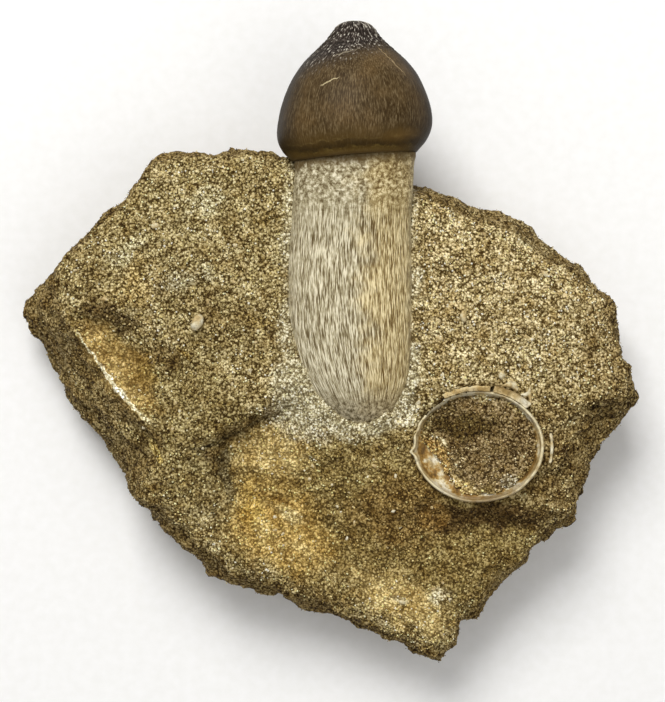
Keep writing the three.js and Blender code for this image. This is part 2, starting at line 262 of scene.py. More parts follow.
def mesh_object(name: str, mesh: Mesh, smooth: bool = True) -> Object:
    """Links a finished mesh as a piece that rides on the specimen's only body.

    Args:
        name: the piece's name.
        mesh: its mesh, placed in the model's frame.
        smooth: whether its faces are shaded smooth.

    Returns:
        The new object.
    """
    piece = bpy.data.objects.new(name, mesh)
    bpy.context.scene.collection.objects.link(piece)
    mesh.shade_smooth() if smooth else mesh.shade_flat()
    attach(piece, BODY)
    log.info("%s: %d faces", name, len(mesh.polygons))
    return piece


def mesh_from_bmesh(name: str, bm: BMesh) -> Mesh:
    """Merges doubles, turns the faces outwards and hands back a bmesh as a mesh."""
    bmesh.ops.remove_doubles(bm, verts=bm.verts[:], dist=1e-6)
    bmesh.ops.recalc_face_normals(bm, faces=bm.faces[:])
    mesh = bpy.data.meshes.new(name)
    bm.to_mesh(mesh)
    bm.free()
    return mesh


def paint(mesh: Mesh, name: str, values: list[float] | np.ndarray) -> None:
    """Writes one number for every vertex of a mesh, for its finish to read.

    Args:
        mesh: the mesh.
        name: the attribute's name.
        values: the numbers, in the vertices' order.
    """
    mesh.attributes.new(name, "FLOAT", "POINT").data.foreach_set("value", np.asarray(values, dtype=float))


def remade(node: str, name: str, voxel: float) -> Mesh:
    """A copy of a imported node, merged and remade with even small faces.

    Args:
        node: the node's name in the record.
        name: the new mesh's name.
        voxel: the size of the faces, in metres.

    Returns:
        The new mesh, without materials.
    """
    bm = bmesh.new()
    bm.from_mesh(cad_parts[node].data)
    bmesh.ops.remove_doubles(bm, verts=bm.verts[:], dist=1e-6)
    source = bpy.data.meshes.new(name + "_source")
    bm.to_mesh(source)
    bm.free()
    helper = bpy.data.objects.new(name + "_helper", source)
    bpy.context.scene.collection.objects.link(helper)
    remesh = helper.modifiers.new("remesh", "REMESH")
    remesh.mode = "VOXEL"
    remesh.voxel_size = voxel
    evaluated = helper.evaluated_get(bpy.context.evaluated_depsgraph_get())
    mesh = bpy.data.meshes.new_from_object(evaluated)
    mesh.name = name
    mesh.materials.clear()
    bpy.data.objects.remove(helper)
    return mesh


def spun(profile: list[tuple[float, float]], axis: tuple[int, int, int], steps: int) -> BMesh:
    """A closed solid spun from a profile whose two ends lie on the axis.

    Args:
        profile: distances from the axis and places along it, in millimetres.
        axis: the axis, along Y or Z.
        steps: how many steps the turn is cut into.

    Returns:
        The solid, with its doubled points merged.
    """
    bm = bmesh.new()
    along = Vector(axis)
    chain = [bm.verts.new(Vector((half, 0, 0)) * MM + along * (up * MM)) for half, up in profile]
    edges = [bm.edges.new(pair) for pair in zip(chain, chain[1:])]
    turn = {"cent": (0, 0, 0), "axis": axis, "dvec": (0, 0, 0), "angle": 2 * math.pi, "steps": steps}
    bmesh.ops.spin(bm, geom=chain + edges, use_merge=True, use_duplicate=False, **turn)
    bmesh.ops.remove_doubles(bm, verts=bm.verts[:], dist=1e-7)
    return bm


def grain_noise(point: Vector, size: float, octaves: int = 3, seed: float = 0.0) -> float:
    """Soft rock relief, about -1 to 1.

    Args:
        point: where, in metres.
        size: the size of its largest lumps, in metres.
        octaves: how many times finer lumps are added.
        seed: moves the pattern.

    Returns:
        The relief there.
    """
    total = 0.0
    strength = 0.6
    where = point / size + Vector((seed, 2.3 * seed, 4.1))
    for _ in range(octaves):
        total += strength * noise.noise(where)
        strength *= 0.5
        where *= 2.1
    return total


def smoothstep(value: float, low: float, high: float) -> float:
    """Rises smoothly from 0 at low to 1 at high."""
    share = min(1.0, max(0.0, (value - low) / (high - low)))
    return share * share * (3 - 2 * share)


def catmull_rom(points: list[tuple[float, float]], steps: int) -> list[tuple[float, float]]:
    """Points spaced along a smooth curve through the given ones.

    Args:
        points: the points that the curve passes through.
        steps: how many stretches the curve is cut into.

    Returns:
        steps + 1 points.
    """
    knots = np.array(points)
    result = []
    for i in range(steps + 1):
        place = (len(knots) - 1) * i / steps
        k = min(int(place), len(knots) - 2)
        t = place - k
        p0, p1, p2, p3 = knots[max(k - 1, 0)], knots[k], knots[k + 1], knots[min(k + 2, len(knots) - 1)]
        slope_a, slope_b = (p2 - p0) / 2, (p3 - p1) / 2
        point = (
            (2 * p1 - 2 * p2 + slope_a + slope_b) * t**3
            + (-3 * p1 + 3 * p2 - 2 * slope_a - slope_b) * t**2
            + slope_a * t
            + p1
        )
        result.append(tuple(point))
    return result


@dataclass(frozen=True)
class Stain:
    """A patch of the stone with a colour of its own: an ellipse seen from above, in millimetres."""

    place: tuple[float, float]
    reach: tuple[float, float]
    turn: float
    colour: str
    strength: float = 0.8
    soft: float = 0.6
    fine: bool = False
    calm: float = 0.0  # how far the speckle is evened out in it


STONE_COLOURS = [(0.3, "806a3f"), (0.5, "978456"), (0.68, "a89568")]
# the steep sides: their own darker brown, partly painted shade
WALL_TONE_AND_SHADE = "766137"
POWDER_COLOUR = "d0c295"
STAINS = [
    # the broad tone of the top: paler at the upper right, darker and warmer below
    Stain((30, 14), (30, 24), 0, "b09c6e", 0.9, 0.9),
    Stain((-25, 20), (22, 14), 10, "9b895c", 0.7, 0.9),
    Stain((12, -33), (34, 15), -12, "857040", 0.95, 0.8, calm=0.35),
    Stain((-26, -15), (12, 14), 20, "88764a", 0.9, 0.8),
    Stain((46, -22), (12, 12), 30, "7f6a40", 0.8, 0.7),
    Stain((52, 0), (5, 12), 0, "927c50", 0.7, 0.8),
    # the scar near the left corner: ochre up to the arris, and painted shade under its brow and on the low
    # side of the step beside it
    Stain((-38.4, -4.2), (9.6, 4.6), -48, "9c814a", 1.0, 0.5, calm=0.9),
    Stain((-42.0, -1.6), (5.5, 1.7), -55, "ae9055", 0.8, 0.8),
    Stain((-37.6, -6.8), (5.0, 1.8), -50, "b69c62", 0.8, 0.8),
    Stain((-33.2, -3.6), (2.4, 3.8), 8, "7e6531", 0.8, 0.8),
    # painted shade on the low side of a step
    Stain((-28.6, -2.0), (3.4, 1.8), -30, "5f491f", 0.75, 0.7),
    # painted shadow under the brow
    Stain((-40.5, 5.2), (5.6, 1.7), -22, "574320", 0.85, 0.6),
    Stain((-35.0, 10.0), (4.0, 3.4), 0, "9c8149", 0.5, 0.9),
    Stain((-35.0, 13.0), (2.4, 1.8), 30, "a58a50", 0.5, 0.9),
    # the basin: tan above, bright ochre with chalky white in it, orange-brown to its right
    Stain((-11.0, -20.0), (8.0, 4.4), -10, "c2a86c", 0.9, 0.8, calm=0.7),
    Stain((-9.0, -34.0), (10.5, 7.0), -40, "b39453", 0.9, 0.8, calm=0.5),
    Stain((-14.0, -31.0), (2.4, 4.0), 20, "b99a52", 0.8, 0.7),
    Stain((13.0, -31.0), (9.0, 7.0), 0, "7a6032", 0.75, 0.8),
    Stain((13.8, -47.5), (8.5, 4.2), -30, "c6ac70", 0.9, 0.8, calm=0.7),
    Stain((21.2, -45.8), (2.2, 2.0), 0, "c9bc94", 0.6, 0.9),
    # bleached patches of the top, the grey ones, and painted shade on the low sides of three steps
    Stain((-24.3, 25.3), (3.6, 2.0), 20, "b7ab82", 0.7, 0.7),
    Stain((-36.0, 17.5), (4.6, 2.0), 35, "b3a67c", 0.7, 0.7),
    Stain((-27.0, 12.0), (5.0, 2.4), 25, "a09472", 0.6, 0.8),
    Stain((37.6, 20.2), (5.4, 2.0), -38, "a59c76", 0.6, 0.8),
    # painted shade on the low side of a step
    Stain((-20.2, -24.0), (1.5, 6.0), 8, "574a2e", 0.75, 0.7),
    # painted shadow under the step below the ring
    Stain((27.6, -31.8), (13.0, 2.6), 0, "4f3a1b", 0.85, 0.6),
    # painted shadow under the step at the right edge
    Stain((50.0, -12.0), (3.2, 1.3), -8, "453514", 0.8, 0.6),
    # inside the ring: the sand, painted shadow under the rim at the upper left, bone and ochre at the lower
    # left
    Stain((27.4, -18.4), (11.0, 9.2), 0, "7c6742", 0.95, 0.12),
    # painted shadow under the rim
    Stain((24.6, -14.2), (7.2, 2.6), -8, "493814", 0.85, 0.6),
    # the brightest powder, below the tooth's left and right
    Stain((-4.6, -11.6), (5.0, 6.0), 50, "d2c7a6", 0.75, 0.9),
    Stain((13.6, -11.0), (1.6, 3.4), 10, "cabd98", 0.7, 0.9),
    # fine marks: the chalk on the arris, the yellow streak below it, painted shade in the crack along the
    # long step, and a dark line near the basin
    Stain((-45.5, 1.2), (2.0, 0.26), -62, "ded2a6", 0.9, 0.5, True),
    Stain((-43.4, -2.0), (2.1, 0.26), -52, "e6dcb8", 0.9, 0.5, True),
    Stain((-40.9, -5.4), (2.4, 0.4), -54, "ece2bf", 0.95, 0.5, True),
    Stain((-38.4, -8.5), (1.9, 0.6), -49, "f0e8cb", 0.95, 0.5, True),
    Stain((-36.2, -10.8), (1.8, 0.42), -44, "e6dab0", 0.9, 0.5, True),
    Stain((-34.0, -12.9), (1.7, 0.42), -44, "e0d2a4", 0.9, 0.5, True),
    Stain((-31.8, -19.3), (2.4, 0.7), -62, "c5ad68", 0.9, 0.5, True),
    Stain((-26.4, -1.4), (1.9, 0.35), -42, "c2a866", 0.8, 0.6, True),
    # painted shade in the crack along the long step
    Stain((-17.6, -16.2), (7.0, 0.3), 28, "2f2410", 0.6, 0.9, True),
    Stain((-23.0, -18.6), (3.0, 0.3), 8, "2f2410", 0.55, 0.9, True),
    Stain((-7.5, -31.0), (3.2, 1.1), -30, "d6c38a", 0.55, 1.2, True),
    Stain((-12.0, -34.5), (1.5, 2.4), 20, "cfb878", 0.55, 1.2, True),
    Stain((-3.4, -38.2), (4.4, 0.9), -25, "cdb577", 0.6, 1.2, True),
    Stain((-8.6, -37.0), (2.6, 1.0), -60, "cbb377", 0.5, 1.2, True),
    Stain((-9.6, -28.2), (3.8, 0.35), -24, "6a4d1c", 0.7, 0.7, True),
    Stain((19.4, -31.7), (3.2, 2.4), 10, "7d6030", 0.9, 0.35, True),
    Stain((13.4, -47.2), (1.5, 0.7), -20, "ded1a8", 0.7, 1.0, True),
    Stain((20.1, -17.3), (1.8, 0.7), -32, "c4b68c", 0.85, 0.6, True),
    Stain((19.4, -20.6), (2.6, 4.2), 20, "a4834a", 0.85, 0.5, True),
    Stain((19.6, -21.6), (1.2, 0.8), -10, "e2d5ae", 0.9, 0.6, True),
    Stain((24.0, -26.2), (3.6, 1.7), -28, "cfb67c", 0.9, 0.6, True),
    Stain((33.1, -24.8), (1.7, 1.2), 20, "a89c7e", 0.7, 0.9, True),
]


class StoneTint:
    """The low, broad colours of the stone as a node group, shared by the rock and its loose grains.

    It reads how steep and how dusty the stone is from the mesh, and hands on how much the dust calms
    the speckle.
    """

    BROAD = (6.0, 10.4)  # mm: the size of the wandering of a broad stain's edge, and how far it goes
    FINE = (1.6, 1.5)  # the same for the fine marks

    FLAT = (1.0, 1.0, 0.0)
    WALLED = 0.85  # how far the sides take on their darker colour: partly their own brown, partly painted shade
    PATCH_LOW, PATCH_HIGH = (0.41, 0.36, 0.275, 1), (0.76, 0.79, 0.89, 1)
    PATCH_GAIN = (2.08, 2.08, 1.86)  # what the patches' two ends are multiplied by

    def __init__(self) -> None:
        """Builds the group once."""
        self.group = bpy.data.node_groups.new("stone_tint", "ShaderNodeTree")
        self.group.interface.new_socket("Colour", in_out="OUTPUT", socket_type="NodeSocketColor")
        self.group.interface.new_socket("Calm", in_out="OUTPUT", socket_type="NodeSocketFloat")
        tree = self.group
        self.mm = millimetres(tree)
        self.powder = attribute(tree, "powder")
        broad, fine = self.wandering(*self.BROAD), self.wandering(*self.FINE)
        colour = ramp(tree, clouded(tree, self.mm, 1 / 9.0, 5.0, 0.6), STONE_COLOURS)
        calm = maths(tree, "MULTIPLY", self.powder, 0.5)
        for stain in (stain for stain in STAINS if not stain.fine):
            share = self.share(broad, stain)
            colour = mixed(tree, share, colour, linear(stain.colour))
            if stain.calm:
                calm = maths(tree, "MULTIPLY_ADD", share, stain.calm, calm)
        # the steep sides darker: partly the broken faces' own brown, partly painted shade
        side = maths(tree, "MULTIPLY", attribute(tree, "wall"), self.WALLED)
        colour = mixed(tree, side, colour, linear(WALL_TONE_AND_SHADE))
        for stain in (stain for stain in STAINS if stain.fine):
            colour = mixed(tree, self.share(fine, stain), colour, linear(stain.colour))
        colour = self.dusted(self.mottled(colour))
        out = tree.nodes.new("NodeGroupOutput")
        tree.links.new(colour, out.inputs["Colour"])
        tree.links.new(maths(tree, "MINIMUM", calm, 1.0), out.inputs["Calm"])

    def wandering(self, size: float, reach: float) -> Socket:
        """The place seen from above, moved about so that the edges of stains wander.

        Args:
            size: the size of the wandering in millimetres.
            reach: how far it goes, in millimetres from end to end.

        Returns:
            The moved place, in millimetres.
        """
        swirl = clouded(self.group, self.mm, 1 / size, 4.0, out="Color")
        centred = vectors(self.group, "SUBTRACT", swirl, (0.5, 0.5, 0.5))
        moved = vectors(self.group, "ADD", self.mm, scaled(self.group, centred, reach))
        return vectors(self.group, "MULTIPLY", moved, self.FLAT)

    def share(self, flat: Socket, stain: Stain) -> Socket:
        """How strongly a stain covers a place.

        Args:
            flat: the wandering place in millimetres, seen from above.
            stain: the stain.

        Returns:
            Its share of the colour there.
        """
        away = ellipse(self.group, flat, stain.place, stain.reach, stain.turn)
        inner, outer = 1 - stain.soft / 2, 1 + stain.soft / 2
        return fitted(self.group, away, outer, inner, (0.0, stain.strength), smooth=True)

    def mottled(self, colour: Socket) -> Socket:
        """Varies a colour in patches of a few millimetres: rust brown here, pale or greenish there."""
        tree = self.group
        tones = put(tree, "ShaderNodeValToRGB", {"Fac": clouded(tree, self.mm, 0.3, 4.0, 0.7)})
        low, high = tones.node.color_ramp.elements
        low.position, high.position = 0.34, 0.66
        low.color, high.color = self.PATCH_LOW, self.PATCH_HIGH
        return vectors(tree, "MULTIPLY", vectors(tree, "MULTIPLY", colour, self.PATCH_GAIN), tones)

    def dusted(self, colour: Socket) -> Socket:
        """Lays pale powder on a colour, in crumbs where there is little of it."""
        crumbs = clouded(self.group, self.mm, 1.1, 4.0, 0.75)
        lying = maths(self.group, "ADD", self.powder, crumbs)
        part = fitted(self.group, lying, 0.76, 1.24, (0.0, 0.9), smooth=True)
        return mixed(self.group, part, colour, linear(POWDER_COLOUR))


@dataclass(frozen=True)
class SandstoneFinish:
    """Coarse sandstone: grains about half a millimetre wide in a brown cement, broken and unpolished.

    It paints a salt-and-pepper over broad ochre stains: dark grains and cement with painted shade in the gaps
    between grains, and pale grains with painted glints.
    """

    grain_mm: float = 0.44
    # gap darkens the dark grains and the cement, and paints shade in the gaps between grains
    gap: tuple[float, float, float] = (0.15, 0.11, 0.05)
    # glint lightens the pale grains and paints glints on them
    glint: tuple[float, float, float] = (2.2, 2.45, 3.4)

    def build(self, tint: StoneTint) -> Material:
        """Makes the material.

        Args:
            tint: the stone's broad colours.

        Returns:
            The sandstone material.
        """
        material, tree = blank_material("coarse_sandstone")
        mm = millimetres(tree)
        broad = put(tree, "ShaderNodeGroup", {}, out="Colour", node_tree=tint.group)
        calm = broad.node.outputs["Calm"]
        cells = put(tree, "ShaderNodeTexVoronoi", {"Vector": mm, "Scale": 1 / self.grain_mm}, out="Distance")
        lottery = put(tree, "ShaderNodeSeparateColor", {"Color": cells.node.outputs["Color"]}, out=0)
        speck = clouded(tree, mm, 2.4, 3.0, 0.8)
        patches = clouded(tree, mm, 0.35, 3.0, 0.7)
        gaps = fitted(tree, cells, 0.35, 0.75)
        tone = maths(tree, "MULTIPLY_ADD", speck, 1.5, -0.5)
        for part, weight in ((lottery, 0.45), (gaps, -0.3), (patches, 0.5)):
            tone = maths(tree, "MULTIPLY_ADD", part, weight, tone)
        most = fitted(tree, calm, 0.0, 1.0, (1.0, 0.62))
        dark = fitted(tree, tone, 0.64, 0.4, (0.0, most))
        pale = fitted(tree, tone, 0.68, 0.94, (0.0, most))
        # dark specks take the gap colour, painted shade between grains included; pale ones the glint colour,
        # painted glints included
        colour = mixed(tree, dark, broad, vectors(tree, "MULTIPLY", broad, self.gap))
        colour = mixed(tree, pale, colour, vectors(tree, "MULTIPLY", broad, self.glint))
        return surfaced(material, colour, 0.8, 0.12, bumped(tree, tone, 0.9, 0.35 * MM))


class GrainKind(Enum):
    """The three kinds of loose sand grain: how dark and how bright each is beside the stone's own colour."""

    BROWN = ((0.14, 0.11, 0.05), (0.6, 0.55, 0.42))
    GOLD = ((0.95, 0.99, 0.9), (2.0, 2.2, 2.4))
    CREAM = ((1.9, 2.15, 2.9), (3.8, 4.6, 7.0))


# the share of the stone's small faces that carry a grain of each kind
GRAIN_SHARES = {GrainKind.BROWN: 0.2, GrainKind.GOLD: 0.215, GrainKind.CREAM: 0.118}


@dataclass(frozen=True)
class GrainFinish:
    """Single grains of quartz and broken bone, stained by the cement: hard, angular and a little glassy."""

    kind: GrainKind
    brightest: tuple[float, float, float] = (0.92, 0.88, 0.74)
    calmed: float = 0.3

    def build(self, tint: StoneTint) -> Material:
        """Makes the material of one kind of grain.

        Args:
            tint: the stone's broad colours, which the grains share.

        Returns:
            The grains' material.
        """
        material, tree = blank_material("sand_grain_" + self.kind.name.lower())
        broad = put(tree, "ShaderNodeGroup", {}, out="Colour", node_tree=tint.group)
        tone = attribute(tree, "tone")
        low, high = self.kind.value
        spread = tuple(b - a for a, b in zip(low, high))
        own = vectors(tree, "MULTIPLY_ADD", tone, spread, low)
        colour = vectors(tree, "MINIMUM", vectors(tree, "MULTIPLY", broad, own), self.brightest)
        colour = mixed(tree, maths(tree, "MULTIPLY", broad.node.outputs["Calm"], self.calmed), colour, broad)
        rough = fitted(tree, tone, 0.0, 1.0, (0.6, 0.35))
        return surfaced(material, colour, rough, 0.22)


@dataclass(frozen=True)
class RootBoneFinish:
    """Mineralised root bone: fine fibres along the root, pale on their backs and brown in the grooves."""

    cool: tuple[str, str, str] = ("604f2e", "aa9e7b", "ebe1c3")
    warm: tuple[str, str, str] = ("63491d", "a8915b", "ecd9a6")
    depths: tuple[float, float, float] = (0.2, 0.49, 0.78)
    grey: tuple[tuple[float, str], ...] = ((0.42, "34290f"), (0.58, "b8a988"))
    dust: tuple[tuple[float, str], ...] = ((0.38, "65573a"), (0.6, "c6b994"))
    # the neck's band under the crown: the crown's foot colour carried down, partly painted shade under the
    # crown's rim
    collar: str = "5f4a22"

    def build(self) -> Material:
        """Makes the material, which reads the fibres' place and relief from the mesh."""
        material, tree = blank_material("mineralised_root_bone")
        mm = millimetres(tree)
        place = attribute(tree, "fibre", "Vector")
        granular = attribute(tree, "granular")
        hairs = clouded(tree, place, 5.4, 2.0, 0.65)
        crumbs = clouded(tree, mm, 1.4, 5.0, 0.75)
        fine = put(tree, "ShaderNodeMix", {0: granular, 2: hairs, 3: crumbs}, out=0, data_type="FLOAT")
        patches = clouded(tree, mm, 0.22, 4.0, 0.6)
        deep = maths(tree, "MULTIPLY_ADD", fine, 2.5, -1.15)
        for part, weight in ((attribute(tree, "relief"), 0.4), (patches, 0.4), (granular, -0.03)):
            deep = maths(tree, "MULTIPLY_ADD", part, weight, deep)
        cool, warm = (ramp(tree, deep, zip(self.depths, shades)) for shades in (self.cool, self.warm))
        drift = maths(tree, "MULTIPLY_ADD", patches, 14.0, coordinate(tree, mm, "X"))
        warm_share = fitted(tree, drift, 10.5, 17.0, (0.0, 0.85), smooth=True)
        colour = mixed(tree, warm_share, cool, warm)
        tip_share = fitted(tree, coordinate(tree, mm, "Y"), -6.0, -13.5, (0.0, 0.7), smooth=True)
        colour = mixed(tree, tip_share, colour, ramp(tree, fine, self.grey))
        colour = mixed(tree, attribute(tree, "flank"), colour, ramp(tree, crumbs, self.dust))
        # the neck's band: the crown's foot colour, partly painted shade under the crown's rim
        colour = mixed(tree, attribute(tree, "collar"), colour, linear(self.collar))
        return surfaced(material, colour, 0.7, 0.3, bumped(tree, fine, 0.6, 0.2 * MM))


@dataclass(frozen=True)
class EnamelFinish:
    """Fossil enamel: dark brown, softly polished, finely ribbed, gone grey-violet and wrinkled at the tip,
    with painted shade on its flanks.
    """

    body: tuple[tuple[float, str], ...] = ((0.32, "38280f"), (0.5, "4b3a20"), (0.68, "5c4728"))
    rib: str = "8a7858"
    groove: str = "2a1d0a"
    # painted shade that darkens the crown's flanks
    flank: str = "1f1507"
    worn_spot: str = "8f8866"
    # the bands over the lowest 8 mm, upwards: plain, and with broken lines between them
    band: tuple[tuple[float, str], ...] = (
        (0.16, "66512a"), (0.25, "543f16"), (0.34, "3f2e0f"), (0.5, "513d19"), (0.8, "5a4622"),
    )  # fmt: skip
    lined_band: tuple[tuple[float, str], ...] = (
        (0.16, "66512a"), (0.25, "5c481d"), (0.27, "6d5829"), (0.31, "38290c"), (0.44, "3f2e10"),
        (0.47, "6f5c34"), (0.51, "4a3715"), (0.8, "55421f"),
    )  # fmt: skip
    tip: tuple[tuple[float, str], ...] = (
        (0.3, "100c0a"), (0.52, "2f2824"), (0.7, "5c544d"), (0.86, "d6cfbd"),
    )  # fmt: skip
    # scratches, pale lines and clouds: middle and half sizes in millimetres, turn, colour, strength
    marks: tuple[tuple, ...] = (
        ((0.2, 47.2), (1.9, 0.14), 25, "c2b288", 0.85),
        ((11.4, 51.3), (3.9, 0.11), -46, "a08a64", 0.75),
        ((3.1, 52.7), (2.8, 0.11), 17, "9c917a", 0.7),
        ((12.6, 37.6), (4.2, 1.3), 14, "7b5d2c", 0.4),
        ((-6.2, 34.4), (2.6, 1.0), -8, "6e5424", 0.5),
    )

    def build(self) -> Material:
        """Makes the material, which reads the ribs' place and the height above the base from the mesh."""
        material, tree = blank_material("fossil_enamel")
        mm = millimetres(tree)
        place = attribute(tree, "rib", "Vector")
        height = attribute(tree, "height")
        ribs = clouded(tree, place, 4.8, 2.0, 0.7)
        colour = ramp(tree, clouded(tree, mm, 0.16, 4.0), self.body)
        colour = mixed(tree, fitted(tree, ribs, 0.5, 0.72, (0.0, 0.65)), colour, linear(self.rib))
        colour = mixed(tree, fitted(tree, ribs, 0.5, 0.32, (0.0, 0.75)), colour, linear(self.groove))
        colour = self.base_band(tree, mm, height, colour)
        colour = self.apex(tree, mm, height, colour)
        # painted shade: the crown darkened towards its flanks
        edge = maths(tree, "MULTIPLY", attribute(tree, "flank"), 0.85)
        colour = mixed(tree, edge, colour, linear(self.flank))
        colour = self.scratches(tree, mm, colour)
        return surfaced(material, colour, 0.5, 0.1, bumped(tree, ribs, 0.4, 0.1 * MM))

    def base_band(self, tree: Tree, mm: Socket, height: Socket, colour: Socket) -> Socket:
        """Lays soft bands over the foot of the crown: olive, dark, and broken lighter lines."""
        wavy = clouded(tree, mm, 0.24, 5.0, 0.65)
        lift = maths(tree, "MULTIPLY_ADD", wavy, 2.6, height)
        share = fitted(tree, lift, 7.0, 3.2, (0.0, 0.85), smooth=True)
        up = fitted(tree, lift, 0.0, 8.0)
        kept = fitted(tree, clouded(tree, mm, 0.5, 4.0, 0.7), 0.44, 0.6)
        bands = mixed(tree, kept, ramp(tree, up, self.band), ramp(tree, up, self.lined_band))
        return mixed(tree, share, colour, bands)

    def apex(self, tree: Tree, mm: Socket, height: Socket, colour: Socket) -> Socket:
        """Greys the tip, further down on its left, with pale crests on its wrinkles and a worn top."""
        reach = maths(tree, "MULTIPLY_ADD", coordinate(tree, mm, "X"), -0.3, height)
        grey_share = fitted(tree, reach, 14.5, 19.0, (0.0, 0.92), smooth=True)
        colour = mixed(tree, grey_share, colour, ramp(tree, attribute(tree, "relief"), self.tip))
        top = fitted(tree, height, 24.75, 25.05, (0.0, 0.8))
        return mixed(tree, top, colour, linear(self.worn_spot))

    def scratches(self, tree: Tree, mm: Socket, colour: Socket) -> Socket:
        """Draws the chipped pale scratch, the two fine pale lines and the two clouds near the base."""
        uneven = clouded(tree, mm, 1.1, 3.0, out="Color")
        centred = vectors(tree, "SUBTRACT", uneven, (0.5, 0.5, 0.5))
        moved = vectors(tree, "MULTIPLY_ADD", centred, (0.9, 0.9, 0.0), mm)
        flat = vectors(tree, "MULTIPLY", moved, (1.0, 1.0, 0.0))
        front = maths(tree, "GREATER_THAN", coordinate(tree, mm, "Z"), 24.0)
        for place, reach, turn, shade, strength in self.marks:
            away = ellipse(tree, flat, place, reach, turn)
            inner = 0.7 if reach[1] < 0.5 else 0.1  # a line has a hard edge, a cloud a soft one
            share = fitted(tree, away, 1.1, inner, (0.0, strength))
            colour = mixed(tree, maths(tree, "MULTIPLY", share, front), colour, linear(shade))
        return colour


OCHRE_CLOUDS = ((0.34, "a1844a"), (0.45, "c2a468"), (0.53, "d6be88"), (0.64, "e8d9ac"), (0.74, "d0ba86"))


@dataclass(frozen=True)
class PaleBoneFinish:
    """Small fossil bone: cream and ochre, cracked, a little waxy."""

    name: str = "pale_fossil_bone"
    clouds: tuple[tuple[float, str], ...] = (
        (0.34, "a08550"), (0.45, "c6af7c"), (0.53, "d8cba5"), (0.64, "e9e2c8"), (0.74, "ccc6b0"),
    )  # fmt: skip
    inside: tuple[tuple[float, str], ...] = (
        (0.38, "5d431a"), (0.48, "a67f3c"), (0.54, "cdb884"), (0.62, "eee6cc"),
    )  # fmt: skip
    streak: str = "7c5f31"
    dirt: str = "5a431e"
    crest: str = "e9dcb4"

    def build(self) -> Material:
        """Makes the material."""
        material, tree = blank_material(self.name)
        mm = millimetres(tree)
        clouds = clouded(tree, mm, 0.32, 5.0, 0.65)
        fine = clouded(tree, mm, 1.9, 4.0, 0.7)
        colour = ramp(tree, clouds, self.clouds)
        colour = mixed(tree, attribute(tree, "inside"), colour, ramp(tree, clouds, self.inside))
        colour = mixed(tree, attribute(tree, "streak"), colour, linear(self.streak))
        colour = mixed(tree, fitted(tree, fine, 0.47, 0.32, (0.0, 0.75)), colour, linear(self.dirt))
        colour = mixed(tree, attribute(tree, "crest"), colour, linear(self.crest))
        return surfaced(material, colour, 0.55, 0.35, bumped(tree, fine, 0.5, 0.15 * MM))


@dataclass(frozen=True)
class FloorFinish:
    """Matt pale paper board: even, with a trace of tooth."""

    def build(self) -> Material:
        """Makes the material."""
        material, tree = blank_material("pale_board")
        mm = millimetres(tree)
        tooth = clouded(tree, mm, 0.5, 3.0)
        colour = ramp(tree, tooth, [(0.3, "f2f1ee"), (0.7, "f6f5f3")])
        return surfaced(material, colour, 0.85)


@dataclass
class Neighbours:
    """The surfaces of the bones that the stone closes up against."""

    nodes: tuple[str, ...]
    trees: list[BVHTree] = field(default_factory=list)

    def __post_init__(self) -> None:
        """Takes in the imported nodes."""
        for node in self.nodes:
            bm = bmesh.new()
            bm.from_mesh(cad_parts[node].data)
            self.trees.append(BVHTree.FromBMesh(bm))
            bm.free()

    def nearest(self, point: Vector, reach: float) -> tuple[Vector, Vector, float] | None:
        """Finds the closest point of any bone.

        Args:
            point: where to look from.
            reach: how far to look, in metres.

        Returns:
            The point, the bone's outward normal there and the distance, or None if none is near.
        """
        best = None
        for tree in self.trees:
            hit, normal, _, distance = tree.find_nearest(point, reach)
            if hit is not None and (best is None or distance < best[2]):
                best = (hit, normal, distance)
        return best


@dataclass(frozen=True)
class Line:
    """A straight line on the stone, seen from above, in millimetres."""

    start: tuple[float, float]
    end: tuple[float, float]

    def across(self, x: float, y: float) -> float:
        """How far to the right of the line a place is."""
        dx, dy = self.end[0] - self.start[0], self.end[1] - self.start[1]
        return ((x - self.start[0]) * dy - (y - self.start[1]) * dx) / math.hypot(dx, dy)

    def ends(self, x: float, y: float, fade: float) -> float:
        """1 beside the line, 0 beyond its ends."""
        dx, dy = self.end[0] - self.start[0], self.end[1] - self.start[1]
        length = math.hypot(dx, dy)
        along = ((x - self.start[0]) * dx + (y - self.start[1]) * dy) / length
        return smoothstep(along, -fade, fade) * (1 - smoothstep(along, length - fade, length + fade))


@dataclass(frozen=True)
class Crack:
    """A groove in the stone."""

    line: Line
    depth: float
    width: float

    def rise(self, x: float, y: float, wander: float) -> float:
        """How far the groove lifts the stone at a place: below zero in it.

        Args:
            x: the place, in millimetres.
            y: the place, in millimetres.
            wander: how far the groove strays sideways there, in millimetres.

        Returns:
            The rise in millimetres.
        """
        across = self.line.across(x, y) + wander
        if abs(across) > 3 * self.width:
            return 0.0
        return -self.depth * self.line.ends(x, y, 1.5) * math.exp(-((across / self.width) ** 2))


@dataclass(frozen=True)
class Ledge:
    """A small broken step: the stone stands up on the left of its line, and drops sharply on the right."""

    line: Line
    height: float
    reach: float
    edge: float = 0.45

    def rise(self, x: float, y: float, wander: float) -> float:
        """How far the step lifts the stone at a place.

        Args:
            x: the place, in millimetres.
            y: the place, in millimetres.
            wander: how far the step strays sideways there, in millimetres.

        Returns:
            The rise in millimetres.
        """
        across = self.line.across(x, y) + wander
        if abs(across) > 4 * self.reach:
            return 0.0
        fall = -math.tanh(across / self.edge) * math.exp(-abs(across) / self.reach)
        return self.height * self.line.ends(x, y, 1.8) * fall


